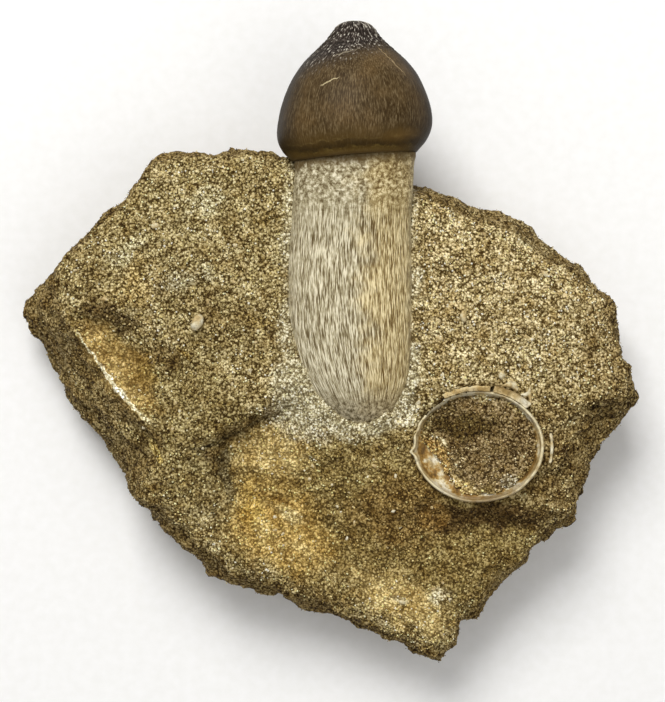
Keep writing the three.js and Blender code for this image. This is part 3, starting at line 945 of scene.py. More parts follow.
@dataclass
class Block:
    """The sandstone block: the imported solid, remade finer, broken up, and closed against the bones."""

    voxel: float = 0.465 * MM
    lump: float = 2.3 * MM
    lump_depth: float = 0.46 * MM
    swell: float = 6.0 * MM
    swell_depth: float = 0.4 * MM
    pit: float = 0.9 * MM
    pit_depth: float = 0.17 * MM
    wall_lump: float = 4.5 * MM
    wall_depth: float = 0.7 * MM
    flat_height: float = 2.0 * MM
    steep: tuple[float, float] = (0.6, 0.84)  # the upward part of the normal: a side, and the top
    calm: tuple[float, float] = (0.7 * MM, 2.5 * MM)  # how near a bone the relief fades
    snap: float = 0.75 * MM
    sink: float = 0.12 * MM
    marks: tuple[Crack | Ledge, ...] = (
        Ledge(Line((-26.5, -19.0), (-16.5, -15.6)), 0.5, 2.0),
        Ledge(Line((-17.5, -16.2), (-9.8, -11.0)), 0.7, 2.2),
        Ledge(Line((-21.0, -31.5), (-20.3, -18.0)), 0.5, 1.8),
        Ledge(Line((-31.5, 1.5), (-24.5, -4.0)), 0.45, 1.6),
        Ledge(Line((-48.0, 5.8), (-38.0, 4.0)), 0.7, 1.9),
        Ledge(Line((45.0, -11.2), (55.5, -10.2)), 0.7, 1.8),
        Ledge(Line((38.0, -22.0), (45.5, -24.6)), 0.6, 1.8),
        Ledge(Line((16.0, -30.2), (36.0, -31.0)), 0.5, 1.8),
        Ledge(Line((-14.5, -27.5), (-6.0, -31.5)), 0.35, 1.6),
        Ledge(Line((-40.0, 16.0), (-29.0, 19.5)), 0.3, 1.5),
        Crack(Line((-22.5, -18.4), (-11.0, -12.2)), 0.45, 0.45),
        Crack(Line((12.6, -51.0), (18.2, -54.8)), 1.5, 0.8),
        Crack(Line((39.5, -24.6), (44.0, -22.6)), 1.0, 1.0),
        Crack(Line((-4.0, -36.0), (8.0, -43.0)), 0.4, 0.8),
        Crack(Line((2.0, -27.5), (14.0, -36.0)), 0.5, 0.8),
        Crack(Line((-30.0, -17.0), (-24.0, -24.0)), 0.6, 0.7),
        Crack(Line((-52.0, 9.0), (-44.0, 14.5)), 0.5, 0.7),
        Crack(Line((38.0, 3.0), (48.0, -3.0)), 0.35, 0.8),
    )

    def build(self, material: Material) -> Object:
        """Makes the block.

        Args:
            material: the sandstone.

        Returns:
            The block's object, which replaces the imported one.
        """
        mesh = remade("stone", "sandstone_block", self.voxel)
        self.break_up(mesh)
        self.flatten_underside(mesh)
        mesh.materials.append(material)
        piece = mesh_object("sandstone_block", mesh)
        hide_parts("stone")
        return piece

    def break_up(self, mesh: Mesh) -> None:
        """Moves every vertex: rough relief, steps and cracks, and shut against the bones.

        It also writes how steep, how dusty and how hidden the stone is at each vertex.

        Args:
            mesh: the stone's mesh, changed in place.
        """
        bones = Neighbours(("root", "crown", "vertebra", *SMALL_BONES))
        root = Neighbours(("root",))
        wall, powder, hidden = [], [], []
        for vertex, normal in zip(mesh.vertices, [n.vector.copy() for n in mesh.vertex_normals]):
            point = vertex.co.copy()
            side = 1 - smoothstep(normal.z, *self.steep)
            wall.append(side)
            powder.append(self.dust(point, root))
            near = bones.nearest(point, 4 * MM)
            hidden.append(1.0 if near and near[2] < self.snap else 0.0)
            if hidden[-1]:
                vertex.co = near[0] - near[1] * self.sink
                continue
            calm = smoothstep(near[2], *self.calm) if near else 1.0
            lifted = smoothstep(point.z, 0.0, self.flat_height)
            vertex.co = point + normal * (self.relief(point, side) * lifted * calm)
            if normal.z > 0.3:
                x, y = point.x / MM, point.y / MM
                wander = 0.9 * noise.noise(point / (3 * MM)) + 0.4 * noise.noise(point / MM)
                vertex.co.z += MM * calm * sum(mark.rise(x, y, wander) for mark in self.marks)
            vertex.co.z = max(0.0, vertex.co.z)
        for name, values in (("wall", wall), ("powder", powder), ("hidden", hidden)):
            paint(mesh, name, values)

    def relief(self, point: Vector, side: float) -> float:
        """The rough relief at a place: lumps and pits, and broken facets on the sides.

        Args:
            point: the place.
            side: 1 on the sides, 0 on the top.

        Returns:
            How far the stone stands out there, in metres.
        """
        move = 1.6 * self.lump_depth * (1 - 0.4 * side) * grain_noise(point, self.lump, 3, 3.1)
        move += 1.8 * self.pit_depth * grain_noise(point, self.pit, 2, 8.7)
        move += 1.6 * self.swell_depth * grain_noise(point, self.swell, 1, 1.3)
        blocks = grain_noise(Vector((point.x, point.y, point.z * 1.8)), self.wall_lump, 2, 5.5)
        stepped = 0.2 * round(blocks * 3.5) + 0.3 * blocks
        return move + 2.2 * side * self.wall_depth * stepped

    def dust(self, point: Vector, root: Neighbours) -> float:
        """How much powder from the digging lies at a place: most close to the root, and below its left."""
        near = root.nearest(point, 12 * MM)
        if not near or point.z < 17 * MM:
            return 0.0
        x, y = point.x / MM, point.y / MM
        corner = math.exp(-(((x + 5.5) / 6) ** 2) - (((y + 9.5) / 7) ** 2))
        uneven = max(0.25, 1 + 1.3 * grain_noise(point, 8 * MM, 2, 7.7))
        reach = (1.9 * uneven + 7.0 * corner + 0.8 * smoothstep(-y, 5, 15)) * MM
        patchy = 0.85 + 1.1 * grain_noise(point, 4 * MM, 3, 2.2) + 0.25 * corner
        patchy *= 1 - 0.3 * smoothstep(y, -10, 4)
        return max(0.0, min(1.0, patchy * (1 - smoothstep(near[2], 0.1 * reach, 1.8 * reach))))

    def flatten_underside(self, mesh: Mesh) -> None:
        """Makes the underside one flat face again, which also saves its many small faces."""
        bm = bmesh.new()
        bm.from_mesh(mesh)
        for vertex in bm.verts:
            if vertex.co.z < 0.12 * MM:
                vertex.co.z = 0.0
        under = [face for face in bm.faces if all(vertex.co.z == 0.0 for vertex in face.verts)]
        bmesh.ops.dissolve_faces(bm, faces=under, use_verts=False)
        bm.to_mesh(mesh)
        bm.free()


def octahedron() -> tuple[np.ndarray, np.ndarray]:
    """The corners and faces of a unit octahedron, its faces pointing out."""
    corners = np.array([(1, 0, 0), (0, 1, 0), (-1, 0, 0), (0, -1, 0), (0, 0, 1), (0, 0, -1)], float)
    faces = [(i, (i + 1) % 4, 4) for i in range(4)] + [((i + 1) % 4, i, 5) for i in range(4)]
    return corners, np.array(faces)


@dataclass
class SandGrains:
    """Loose-looking grains that stand out of the stone: angular bits of quartz and bone, one joined mesh."""

    kind: GrainKind
    share: float
    smallest: float = 0.11 * MM
    largest: float = 0.26 * MM
    seed: int = 1

    def build(self, stones: list[Object], material: Material) -> Object:
        """Scatters the grains over the stone.

        Args:
            stones: the finished sandstone pieces.
            material: the grains' finish.

        Returns:
            The grains' object.
        """
        draw = np.random.default_rng(self.seed)
        seats = np.concatenate([self.seats(stone.data, draw) for stone in stones])
        mesh = self.joined(seats, draw)
        mesh.materials.append(material)
        return mesh_object("sand_grains_" + self.kind.name.lower(), mesh, smooth=False)

    def seats(self, mesh: Mesh, draw: np.random.Generator) -> np.ndarray:
        """Picks the vertices of a stone that carry a grain.

        Args:
            mesh: the stone's mesh.
            draw: the random numbers.

        Returns:
            A row for each grain: its centre, the stone's normal there, how steep and how dusty it is.
        """
        count = len(mesh.vertices)
        rows = np.empty((count, 8))
        for column, (source, name) in {0: (mesh.vertices, "co"), 3: (mesh.vertex_normals, "vector")}.items():
            values = np.empty(count * 3)
            source.foreach_get(name, values)
            rows[:, column : column + 3] = values.reshape(-1, 3)
        scalars = {}
        for name in ("wall", "powder", "hidden"):
            scalars[name] = np.zeros(count)
            mesh.attributes[name].data.foreach_get("value", scalars[name])
        rows[:, 6], rows[:, 7] = scalars["wall"], scalars["powder"]
        chance = self.share * (1 - 0.75 * scalars["hidden"]) * (1 - 0.35 * scalars["powder"])
        chance *= 1 - 0.35 * scalars["wall"]  # fewer on the sides, where they would show as bristles
        return rows[(rows[:, 2] > 1.2 * MM) & (draw.random(count) < chance)]

    def joined(self, seats: np.ndarray, draw: np.random.Generator) -> Mesh:
        """Joins one turned and uneven octahedron for each seat into a mesh.

        Args:
            seats: the grains' rows from seats().
            draw: the random numbers.

        Returns:
            The mesh, with a tone and a place in the texture for every grain.
        """
        corners, faces = octahedron()
        count = len(seats)
        sizes = draw.uniform(self.smallest, self.largest, (count, 1, 1)) * (1 - 0.4 * seats[:, 6, None, None])
        shapes = corners[None] * draw.uniform(0.7, 1.2, (count, 6, 1)) + draw.normal(0, 0.13, (count, 6, 3))
        turns, _ = np.linalg.qr(draw.normal(size=(count, 3, 3)))
        turns[np.linalg.det(turns) < 0, :, 0] *= -1
        centres = seats[:, :3] + draw.normal(0, 0.12 * MM, (count, 3)) - seats[:, 3:6] * (sizes[:, 0] * 0.1)
        points = np.einsum("nij,nkj->nki", turns, shapes * sizes) + centres[:, None]
        mesh = bpy.data.meshes.new("sand_grains")
        starts = (np.arange(count) * 6)[:, None, None]
        mesh.from_pydata(points.reshape(-1, 3), [], (faces[None] + starts).reshape(-1, 3))
        for name, values in (("tone", draw.random(count)), ("wall", seats[:, 6]), ("powder", seats[:, 7])):
            paint(mesh, name, np.repeat(values, 6))
        self.lay_out(mesh, count)
        return mesh

    def lay_out(self, mesh: Mesh, count: int) -> None:
        """Gives each of a grain's eight faces its own corner of the texture.

        Args:
            mesh: the grains' mesh.
            count: how many grains it has.
        """
        cells = math.ceil(math.sqrt(count))
        index = np.arange(count * 8)
        grain, side = index // 8, index % 8
        left = (grain % cells + (side % 4) / 4) / cells
        low = (grain // cells + (side // 4) / 2) / cells
        wide, high = 0.22 / cells, 0.44 / cells
        corner = np.array([(0.02, 0.02), (1, 0.02), (0.5, 1)])
        uv = np.stack([left, low], 1)[:, None] + corner[None] * (wide, high)
        layer = mesh.uv_layers.new(name="OFBake")
        layer.data.foreach_set("uv", uv.reshape(-1))


@dataclass
class ToothRoot:
    """The bone root: a broad low rod of fibres that runs from the neck to a rounded tip."""

    axis_x: float = 4.85 * MM
    lean: float = 1.55 * MM
    bow: float = 1.6 * MM
    neck: tuple[float, float] = (34.1 * MM, 23.6 * MM)
    length: float = 49.8 * MM
    around: int = 600
    rings: int = 130
    rise: float = 0.34 * MM
    flare: float = 0.28 * MM
    fibre: float = 0.19 * MM
    fibre_stretch: float = 12.0
    fibre_depth: float = 0.13 * MM
    outline: tuple[tuple[float, float], ...] = (
        (0, 10.9), (5.3, 11.0), (12, 11.1), (20, 11.5), (28, 11.6), (33.2, 11.3), (36.9, 10.8), (40.7, 9.8),
        (44.2, 7.8), (47.4, 4.6), (49.8, 0),
    )  # fmt: skip

    def build(self, material: Material) -> Object:
        """Makes the root, its neck flared and raised a little to meet the crown.

        Args:
            material: the root's bone.

        Returns:
            The root's object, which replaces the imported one.
        """
        line = [(-self.rise / MM, 10.9)] + catmull_rom(list(self.outline), self.rings)
        flare = self.flare / MM
        profile = [(max(half, 0.0) + flare * (1 - smoothstep(down, -0.3, 1.7)), -down) for down, half in line]
        bm = spun([(0.0, self.rise / MM), *profile], (0, 1, 0), self.around)
        self.shape(bm)
        mesh = mesh_from_bmesh("root_bone", bm)
        mesh.materials.append(material)
        piece = mesh_object("root_bone", mesh)
        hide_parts("root")
        return piece

    def shape(self, bm: BMesh) -> None:
        """Flattens the spun rod to the root's section, bows it, and raises its fibres."""
        fibre = bm.verts.layers.float_vector.new("fibre")
        names = ("relief", "granular", "flank", "collar")
        relief, granular, flank, collar = (bm.verts.layers.float.new(name) for name in names)
        slant = math.tan(math.radians(4.4))
        for vertex in bm.verts:
            x, y, z = vertex.co
            down = -y / MM
            radius = max(math.hypot(x, z), 1e-9)
            place = Vector((x / radius * 11, z / radius * 11, down / self.fibre_stretch))
            vertex[fibre] = place
            grain = max(1 - smoothstep(down, 5.0, 13), 0.8 * smoothstep(down, 40, 47))
            vertex[granular] = grain
            stray = 1.2 * noise.noise(Vector(vertex.co) / (1.6 * MM))
            # the band at the top of the neck: the crown's foot colour, partly painted shade under the crown's
            # rim
            vertex[collar] = 0.85 * (1 - smoothstep(down + stray, 0.0, 2.2))
            height = self.fibres(place * MM, Vector(vertex.co), grain)
            vertex[relief] = 0.5 + 0.5 * height
            neck = 1 - smoothstep(down, 2, 18)
            depth_share = 0.5 + 0.24 * neck if z > 0 else 0.68 + 0.12 * neck
            edge = z / radius + 0.16 * noise.noise(Vector(vertex.co) / (2.5 * MM))
            vertex[flank] = (1 - smoothstep(edge, 0.08, 0.58)) * (0.6 + 0.35 * smoothstep(down, 2, 30))
            swell = 0.35 * MM * noise.noise(place * MM / (4 * MM))
            out = 1 + (self.fibre_depth * height + swell) / (radius + MM)
            share = min(1.0, down * MM / self.length)
            axis = self.axis_x + self.lean * share - self.bow * math.sin(math.pi * share)
            vertex.co = Vector((
                x * out + axis + 0.6 * MM * smoothstep(down, 30, 46) * (1 - abs(x) / radius),
                self.neck[0] + y + x * slant * (1 - smoothstep(down, 0, 9)),
                self.neck[1] + z * depth_share * out - 0.9 * MM * smoothstep(down, 20, self.length / MM),
            ))  # fmt: skip

    def fibres(self, place: Vector, point: Vector, grain: float) -> float:
        """The height of the fibres, about -1 to 1.

        Args:
            place: the place on the root's round side, shortened along the root.
            point: the place itself.
            grain: how far the fibres give way to crumbly bone.

        Returns:
            The height.
        """
        sway = noise.noise(point / (3.5 * MM))
        wave = Vector((sway, sway, 0)) * 0.2 * MM
        coarse = noise.noise((place + wave) / (1.8 * self.fibre))
        fine = noise.noise((place + wave) / (0.9 * self.fibre) + Vector((3, 1, 5)))
        crumbs = grain_noise(point, 0.9 * MM, 3, 6.0) * 1.5
        return max(-1.0, min(1.0, (1.0 * coarse + 0.8 * fine) * (1 - grain) + crumbs * grain))


@dataclass
class ToothCrown:
    """The crown: a swollen dome of enamel with a small nipple-like tip."""

    axis_x: float = 4.75 * MM
    base: tuple[float, float] = (34.4 * MM, 23.6 * MM)
    flatness: float = 0.86
    around: int = 330
    rings: int = 170
    wrinkle_depth: float = 0.17 * MM
    profile: tuple[tuple[float, float], ...] = (
        (0, 0), (7.5, 0), (10.8, 0), (12, 0.9), (13.2, 2.3), (14, 4.2), (14.15, 6.4), (13.6, 9.4),
        (12.65, 12.2), (11.3, 14.9), (9.3, 17.6), (7.0, 19.8), (5.0, 21.7), (3.9, 23.2), (3.0, 24.2),
        (1.6, 24.9), (0, 25.1),
    )  # fmt: skip

    def build(self, material: Material) -> Object:
        """Makes the crown.

        Args:
            material: the enamel.

        Returns:
            The crown's object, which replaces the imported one.
        """
        profile = [(max(half, 0.0), max(up, 0.0)) for half, up in catmull_rom(list(self.profile), self.rings)]
        bm = spun(profile, (0, 1, 0), self.around)
        self.shape(bm)
        mesh = mesh_from_bmesh("crown_enamel", bm)
        mesh.materials.append(material)
        piece = mesh_object("crown_enamel", mesh)
        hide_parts("crown")
        return piece

    def shape(self, bm: BMesh) -> None:
        """Sets the dome a little askew on the root, and wrinkles its tip."""
        rib = bm.verts.layers.float_vector.new("rib")
        relief, height, flank = (bm.verts.layers.float.new(name) for name in ("relief", "height", "flank"))
        slant = math.tan(math.radians(4.4))
        for vertex in bm.verts:
            x, y, z = vertex.co
            up = y / MM
            radius = max(math.hypot(x, z), 1e-9)
            spread = 6.5 + 6.5 * smoothstep(radius / MM, 2, 13)
            place = Vector((x / radius * spread, z / radius * spread, up / 6))
            vertex[rib] = place
            vertex[height] = up
            # how far the crown's flanks take the painted shade
            vertex[flank] = (1 - smoothstep(z / radius, 0.2, 0.85)) * (1 - smoothstep(up, 22, 25))
            crest, tip = self.wrinkles(Vector((x, y, z)), place, up)
            vertex[relief] = 0.5 + 0.5 * crest
            swell = 0.25 * MM * noise.noise(Vector((x, y, z)) / (7 * MM))
            push = swell * smoothstep(up, 0.5, 4) + self.wrinkle_depth * crest * tip
            direction = Vector((x / radius, 0.35, z / radius)) if radius > 1e-8 else Vector((0, 1, 0))
            moved = Vector((x, y, z)) + direction.normalized() * push
            tilt = moved.x * slant * (1 - smoothstep(up, 6, 25))
            vertex.co = Vector((
                self.axis_x + moved.x,
                self.base[0] + moved.y + tilt,
                self.base[1] + moved.z * self.flatness,
            ))  # fmt: skip

    def wrinkles(self, point: Vector, place: Vector, up: float) -> tuple[float, float]:
        """The height of the wrinkles and how strongly they show.

        Args:
            point: the place on the dome.
            place: the same place, spread round and shortened along the crown.
            up: the height above the crown's base in millimetres.

        Returns:
            The height from -1 to 1, and the strength, full at the tip and faint lower down.
        """
        bend = 0.8 * noise.noise(point / (1.6 * MM))
        lines = noise.noise(Vector((place.x * 3.0 + bend, place.y * 3.0 - bend, place.z * 3.4)))
        finer = noise.noise(Vector((place.x * 6.0, place.y * 6.0 + bend, place.z * 7.0 + 7)))
        crest = max(-1.0, min(1.0, 1.2 * lines + 0.9 * finer))
        strength = 0.1 + 0.9 * smoothstep(up, 16.5, 21.5)
        return crest, strength * smoothstep(up, 0.3, 2.0) * (1 - smoothstep(up, 24.6, 25.2))


@dataclass(frozen=True)
class Seat:
    """Where and how the vertebra lies: its face's middle, how oval it is, and its tilt in degrees."""

    middle: tuple[float, float, float] = (27.4 * MM, -18.4 * MM, 23.4 * MM)
    height_share: float = 0.855
    tilt: float = -3.0

    def place(self, point: Vector) -> Vector:
        """Tilts a point of the vertebra, given with its face up at the origin, and moves it into place."""
        lean = Quaternion(Vector((1, 1, 0)).normalized(), math.radians(self.tilt))
        return lean @ point + Vector(self.middle)


@dataclass
class Vertebra:
    """The small fish vertebra: a thin oval rim round a hollow face that is filled with sandstone."""

    seat: Seat = Seat()
    radius: float = 12.0 * MM
    around: int = 300
    # places where the rim is broken away: direction and half width in degrees, depth
    breaks: tuple[tuple[float, float, float], ...] = (
        (262, 15, 1.0 * MM), (141, 4, 0.8 * MM), (300, 6, 0.35 * MM), (197, 3, 0.5 * MM), (20, 5, 0.3 * MM),
    )  # fmt: skip
    beak: tuple[float, float, float] = (185.5, 3.0, 0.7 * MM)

    def build(self, material: Material) -> Object:
        """Makes the bone ring.

        Args:
            material: the pale bone.

        Returns:
            The ring's object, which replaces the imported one.
        """
        r = self.radius / MM
        outline = [
            (0, -7.5), (r - 0.8, -7.5), (r - 1.4, -3.7), (r - 0.3, -1.5), (r - 0.02, 0.1), (r - 0.1, 0.7),
            (r - 0.3, 0.92), (r - 0.52, 0.8), (r - 0.7, 0.3), (r - 0.85, -0.4), (r - 1.75, -1.5),
            (r - 4.2, -2.3), (r - 7.5, -3.0), (0, -3.4),
        ]  # fmt: skip
        line = catmull_rom(outline, 90)
        line[0], line[-1] = (0.0, line[0][1]), (0.0, line[-1][1])
        bm = spun(line, (0, 0, 1), self.around)
        self.shape(bm)
        mesh = mesh_from_bmesh("vertebra_bone", bm)
        mesh.materials.append(material)
        piece = mesh_object("vertebra_bone", mesh)
        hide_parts("vertebra")
        return piece

    def shape(self, bm: BMesh) -> None:
        """Makes the ring oval, wears, breaks and marks its rim, and sets it in its place."""
        crest, inside, streak = (bm.verts.layers.float.new(name) for name in ("crest", "inside", "streak"))
        rim = self.radius
        for vertex in bm.verts:
            x, y, z = vertex.co
            reach = math.hypot(x, y)
            worn = 0.6 + 1.1 * noise.noise(Vector((x, y, 0)) / (1.3 * MM))
            on_crest = smoothstep(z, 0.45 * MM, 0.85 * MM) * (reach > 0.8 * rim)
            angle = math.degrees(math.atan2(y, x)) % 360
            low = math.exp(-(((angle - 277) / 42) ** 2))
            vertex[crest] = 0.9 * max(0.0, min(1.0, worn)) * on_crest * (1 - 0.75 * low)
            vertex[inside] = (z > -4 * MM) * (1 - smoothstep(reach, rim - 1.1 * MM, rim - 0.8 * MM))
            rings = noise.noise(Vector((reach / (0.22 * MM), x / (3 * MM), y / (3 * MM))))
            vertex[streak] = max(0.55 * smoothstep(rings, 0.0, 0.35), 0.85 * low * (reach > 0.9 * rim))
            edge = smoothstep(reach, rim - 2.2 * MM, rim - 0.9 * MM) * smoothstep(z, -1.5 * MM, 0.5 * MM)
            ragged = grain_noise(Vector((x, y, 0)), 1.3 * MM, 3, 2.0)
            z += edge * (0.3 * MM * ragged - 0.1 * MM)
            for middle, half, depth in self.breaks:
                z -= edge * depth * (1 - smoothstep(abs(angle - middle), 0.6 * half, half))
            flutes = 0.09 * MM * math.sin(math.radians(angle * 24))
            flutes *= 1 - smoothstep(abs(angle - 165), 14, 24)
            spike = self.beak[2] * math.exp(-(((angle - self.beak[0]) / self.beak[1]) ** 2))
            wide = 0.14 * MM * noise.noise(Vector((x, y, 0)) / (5 * MM)) * smoothstep(reach, 0.5 * rim, rim)
            out = 1 + (wide + edge * (flutes + spike)) / rim
            vertex.co = self.seat.place(Vector((x * out, y * self.seat.height_share * out, z)))


@dataclass
class Ground:
    """The finished stone as something to lay small pieces on."""

    stone: Object
    tree: BVHTree | None = None

    def __post_init__(self) -> None:
        """Takes in the stone's surface."""
        bm = bmesh.new()
        bm.from_mesh(self.stone.data)
        self.tree = BVHTree.FromBMesh(bm)
        bm.free()

    def height(self, x: float, y: float) -> float:
        """The height of the stone's top at a place, in metres."""
        hit = self.tree.ray_cast(Vector((x, y, 40 * MM)), Vector((0, 0, -1)))[0]
        return hit.z if hit is not None else 23 * MM


@dataclass
class RimSplints:
    """Two thin chips of the vertebra's wall that stand off from the flake at its top right."""

    ground: Ground
    seat: Seat = Seat()
    thickness: float = 0.6 * MM
    # each chip: its outer and its inner edge from left to right, in millimetres from the ring's middle
    flakes: tuple[tuple[tuple[tuple[float, float], ...], tuple[tuple[float, float], ...]], ...] = (
        (((4.4, 11.3), (5.3, 11.8), (6.3, 12.4), (7.0, 11.6), (7.4, 10.5)),
         ((4.5, 11.0), (5.3, 10.8), (6.0, 10.7), (6.6, 10.3), (7.1, 10.1))),
        (((7.8, 9.7), (8.9, 10.1), (9.5, 11.2), (9.8, 9.8), (9.9, 7.9)),
         ((7.8, 9.2), (8.6, 9.0), (9.1, 9.0), (9.2, 8.6), (9.3, 7.8))),
    )  # fmt: skip

    def build(self, material: Material) -> Object:
        """Makes the flakes as one joined mesh.

        Args:
            material: the pale bone.

        Returns:
            The flakes' object.
        """
        bm = bmesh.new()
        for outer, inner in self.flakes:
            self.flake(bm, catmull_rom(list(outer), 40), catmull_rom(list(inner), 40))
        mesh = mesh_from_bmesh("rim_splints", bm)
        mesh.materials.append(material)
        return mesh_object("rim_splints", mesh)

    def flake(self, bm: BMesh, outer: list[tuple[float, float]], inner: list[tuple[float, float]]) -> None:
        """Adds one flake: a striated strip between two edges that follows the stone, closed below.

        Args:
            bm: the mesh being built.
            outer: points along its outer edge.
            inner: the same number of points along its inner edge.
        """
        across = 8
        made = bmesh.ops.create_grid(bm, x_segments=len(outer) - 1, y_segments=across, size=1.0)["verts"]
        for vertex in made:
            along = (vertex.co.x + 1) / 2 * (len(outer) - 1)
            step = min(int(round(along)), len(outer) - 1)
            share = (vertex.co.y + 1) / 2
            x = (outer[step][0] * (1 - share) + inner[step][0] * share) * MM + self.seat.middle[0]
            y = (outer[step][1] * (1 - share) + inner[step][1] * share) * MM + self.seat.middle[1]
            domed = 1 - (2 * share - 1) ** 4
            streaks = 0.12 * MM * noise.noise(Vector((share * 6, step / 14, outer[0][0])))
            vertex.co = Vector((x, y, self.ground.height(x, y) + self.thickness * (domed - 0.35) + streaks))
        faces = list({face for vertex in made for face in vertex.link_faces})
        below = bmesh.ops.extrude_face_region(bm, geom=faces)["geom"]
        lower = [item for item in below if isinstance(item, bmesh.types.BMVert)]
        bmesh.ops.translate(bm, vec=(0, 0, -0.9 * MM), verts=lower)


@dataclass
class Clasts:
    """Small pale bits of shell and bone in the stone, mostly buried, as one joined mesh.

    Some lie where the eye picks them out, and many tiny ones are scattered, most at the upper right.
    """

    ground: Ground
    # place and half sizes in millimetres, and the turn in degrees
    bits: tuple[tuple[float, float, float, float, float], ...] = (
        (-40.9, 8.6, 1.0, 0.42, -5), (-31.6, 22.1, 0.9, 0.6, 20), (-17.0, 18.4, 0.5, 0.4, 0),
        (20.0, 1.5, 1.0, 0.45, -20), (31.6, -5.3, 0.7, 0.8, 0), (39.5, 13.3, 1.1, 0.4, -40),
        (40.2, -12.4, 1.0, 0.3, -12), (16.4, -10.3, 0.5, 0.45, 30), (13.6, -47.4, 0.7, 0.45, -15),
        (-14.3, -4.4, 0.45, 0.35, 10), (-33.9, -14.9, 0.5, 0.35, 30), (22.5, -47.0, 0.5, 0.4, 0),
        (35.0, 8.0, 0.45, 0.3, 60), (-46.5, 14.0, 0.5, 0.3, 20), (8.5, -22.0, 0.5, 0.35, -30),
        (-22.0, 8.0, 0.5, 0.3, 70), (44.0, 3.0, 0.5, 0.35, 10), (28.5, 20.5, 0.5, 0.35, -20),
        (19.5, -45.0, 0.55, 0.4, 40), (21.2, -43.8, 0.4, 0.35, 0),
    )  # fmt: skip
    scattered: int = 150
    seed: int = 5

    def build(self, material: Material) -> Object:
        """Makes the bits.

        Args:
            material: the pale bone.

        Returns:
            The bits' object.
        """
        bm = bmesh.new()
        for number, (x, y, long, short, turn) in enumerate([*self.bits, *self.strewn()]):
            middle = Vector((x * MM, y * MM, self.ground.height(x * MM, y * MM) - 0.12 * MM))
            ball = bmesh.ops.create_icosphere(bm, subdivisions=3 if long > 0.6 else 2, radius=1.0)["verts"]
            spin = Matrix.Rotation(math.radians(turn), 3, "Z")
            for vertex in ball:
                lump = 1 + 0.22 * noise.noise(vertex.co * 1.6 + Vector((number * 3.7, 0, 0)))
                sized = Vector((vertex.co.x * long, vertex.co.y * short, vertex.co.z * 0.8 * short))
                vertex.co = spin @ (sized * lump * MM) + middle
        mesh = mesh_from_bmesh("pale_clasts", bm)
        mesh.materials.append(material)
        return mesh_object("pale_clasts", mesh)

    def strewn(self) -> list[tuple[float, float, float, float, float]]:
        """The scattered bits, in the same form as the others: only on bare stone, away from the bones."""
        draw = np.random.default_rng(self.seed)
        rows = []
        while len(rows) < self.scattered:
            x, y = draw.normal(32, 13), draw.normal(2, 14)
            if draw.random() < 0.5:
                x, y = draw.uniform(-45, 45), draw.uniform(-40, 30)
            in_block = abs(x - 3) / 52 + abs(y + 8) / 46 < 0.86
            on_tooth = abs(x - 5) < 14.5 and y > -18
            on_ring = math.hypot(x - 27.4, (y + 18.4) / 0.86) < 15.5
            if in_block and not on_tooth and not on_ring:
                long = draw.uniform(0.22, 0.5)
                rows.append((x, y, long, long * draw.uniform(0.45, 0.8), draw.uniform(0, 180)))
        return rows


@dataclass
class FinerCopy:
    """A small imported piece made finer: remade with small even faces, and roughened."""

    node: str
    name: str
    slot: str
    voxel: float
    rough: float
    lump: float = 0.9 * MM
    streaked: float = 0.0
    seat: Seat = Seat()

    def build(self, material: Material) -> Object:
        """Makes the piece.

        Args:
            material: its finish.

        Returns:
            The piece's object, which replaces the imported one.
        """
        mesh = remade(self.node, self.name, self.voxel)
        streaks = []
        for vertex, normal in zip(mesh.vertices, [n.vector.copy() for n in mesh.vertex_normals]):
            away = vertex.co - Vector(self.seat.middle)
            reach = math.hypot(away.x, away.y / self.seat.height_share)
            place = Vector((reach / (0.24 * MM), away.x / (4 * MM), away.y / (4 * MM)))
            streaks.append(self.streaked * smoothstep(noise.noise(place), -0.05, 0.35))
            vertex.co = self.moved(vertex.co, normal, reach)
        for name, values in (("wall", 0.0), ("powder", 0.0), ("hidden", 0.0), ("streak", np.array(streaks))):
            paint(mesh, name, np.zeros(len(mesh.vertices)) + values)
        mesh.materials.append(material)
        piece = mesh_object(self.name, mesh)
        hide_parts(self.node)
        return piece

    def moved(self, point: Vector, normal: Vector, reach: float) -> Vector:
        """Where a point of the roughened piece lies.

        Args:
            point: the point before.
            normal: the outward normal there.
            reach: how far it is from the middle of the vertebra, the oval made round.

        Returns:
            The new point.
        """
        return point + normal * (self.rough * grain_noise(point, self.lump, 3, 4.4))


@dataclass
class RimFlake(FinerCopy):
    """A flake of the vertebra's wall, broken at its ends and drawn in until it leans on the rim."""

    gap: float = 0.34 * MM
    inner: float = 12.3 * MM
    chip: float = 0.5 * MM

    def moved(self, point: Vector, normal: Vector, reach: float) -> Vector:
        """Where a point of the flake lies: roughened, chipped on top, and drawn in where it faces the rim."""
        rough = super().moved(point, normal, reach)
        away = Vector((point.x - self.seat.middle[0], point.y - self.seat.middle[1], 0)).normalized()
        rough -= away * (self.gap * (1 - smoothstep(reach, self.inner + 0.1 * MM, self.inner + 0.6 * MM)))
        ragged = noise.noise(Vector((point.x, point.y, 0)) / (1.1 * MM))
        rough.z += self.chip * ragged * smoothstep(normal.z, 0.2, 0.9)
        return rough


@dataclass
class RingSand(FinerCopy):
    """The sand in the hollow of the vertebra, spread outwards until it meets the rim."""

    spread: float = 0.05

    def moved(self, point: Vector, normal: Vector, reach: float) -> Vector:
        """Where a point of the sand lies: roughened, and pushed out where it is close to the rim."""
        rough = super().moved(point, normal, reach)
        middle = Vector(self.seat.middle)
        share = self.spread * smoothstep(reach, 8.8 * MM, 10.6 * MM)
        return rough + Vector((rough.x - middle.x, rough.y - middle.y, 0)) * share


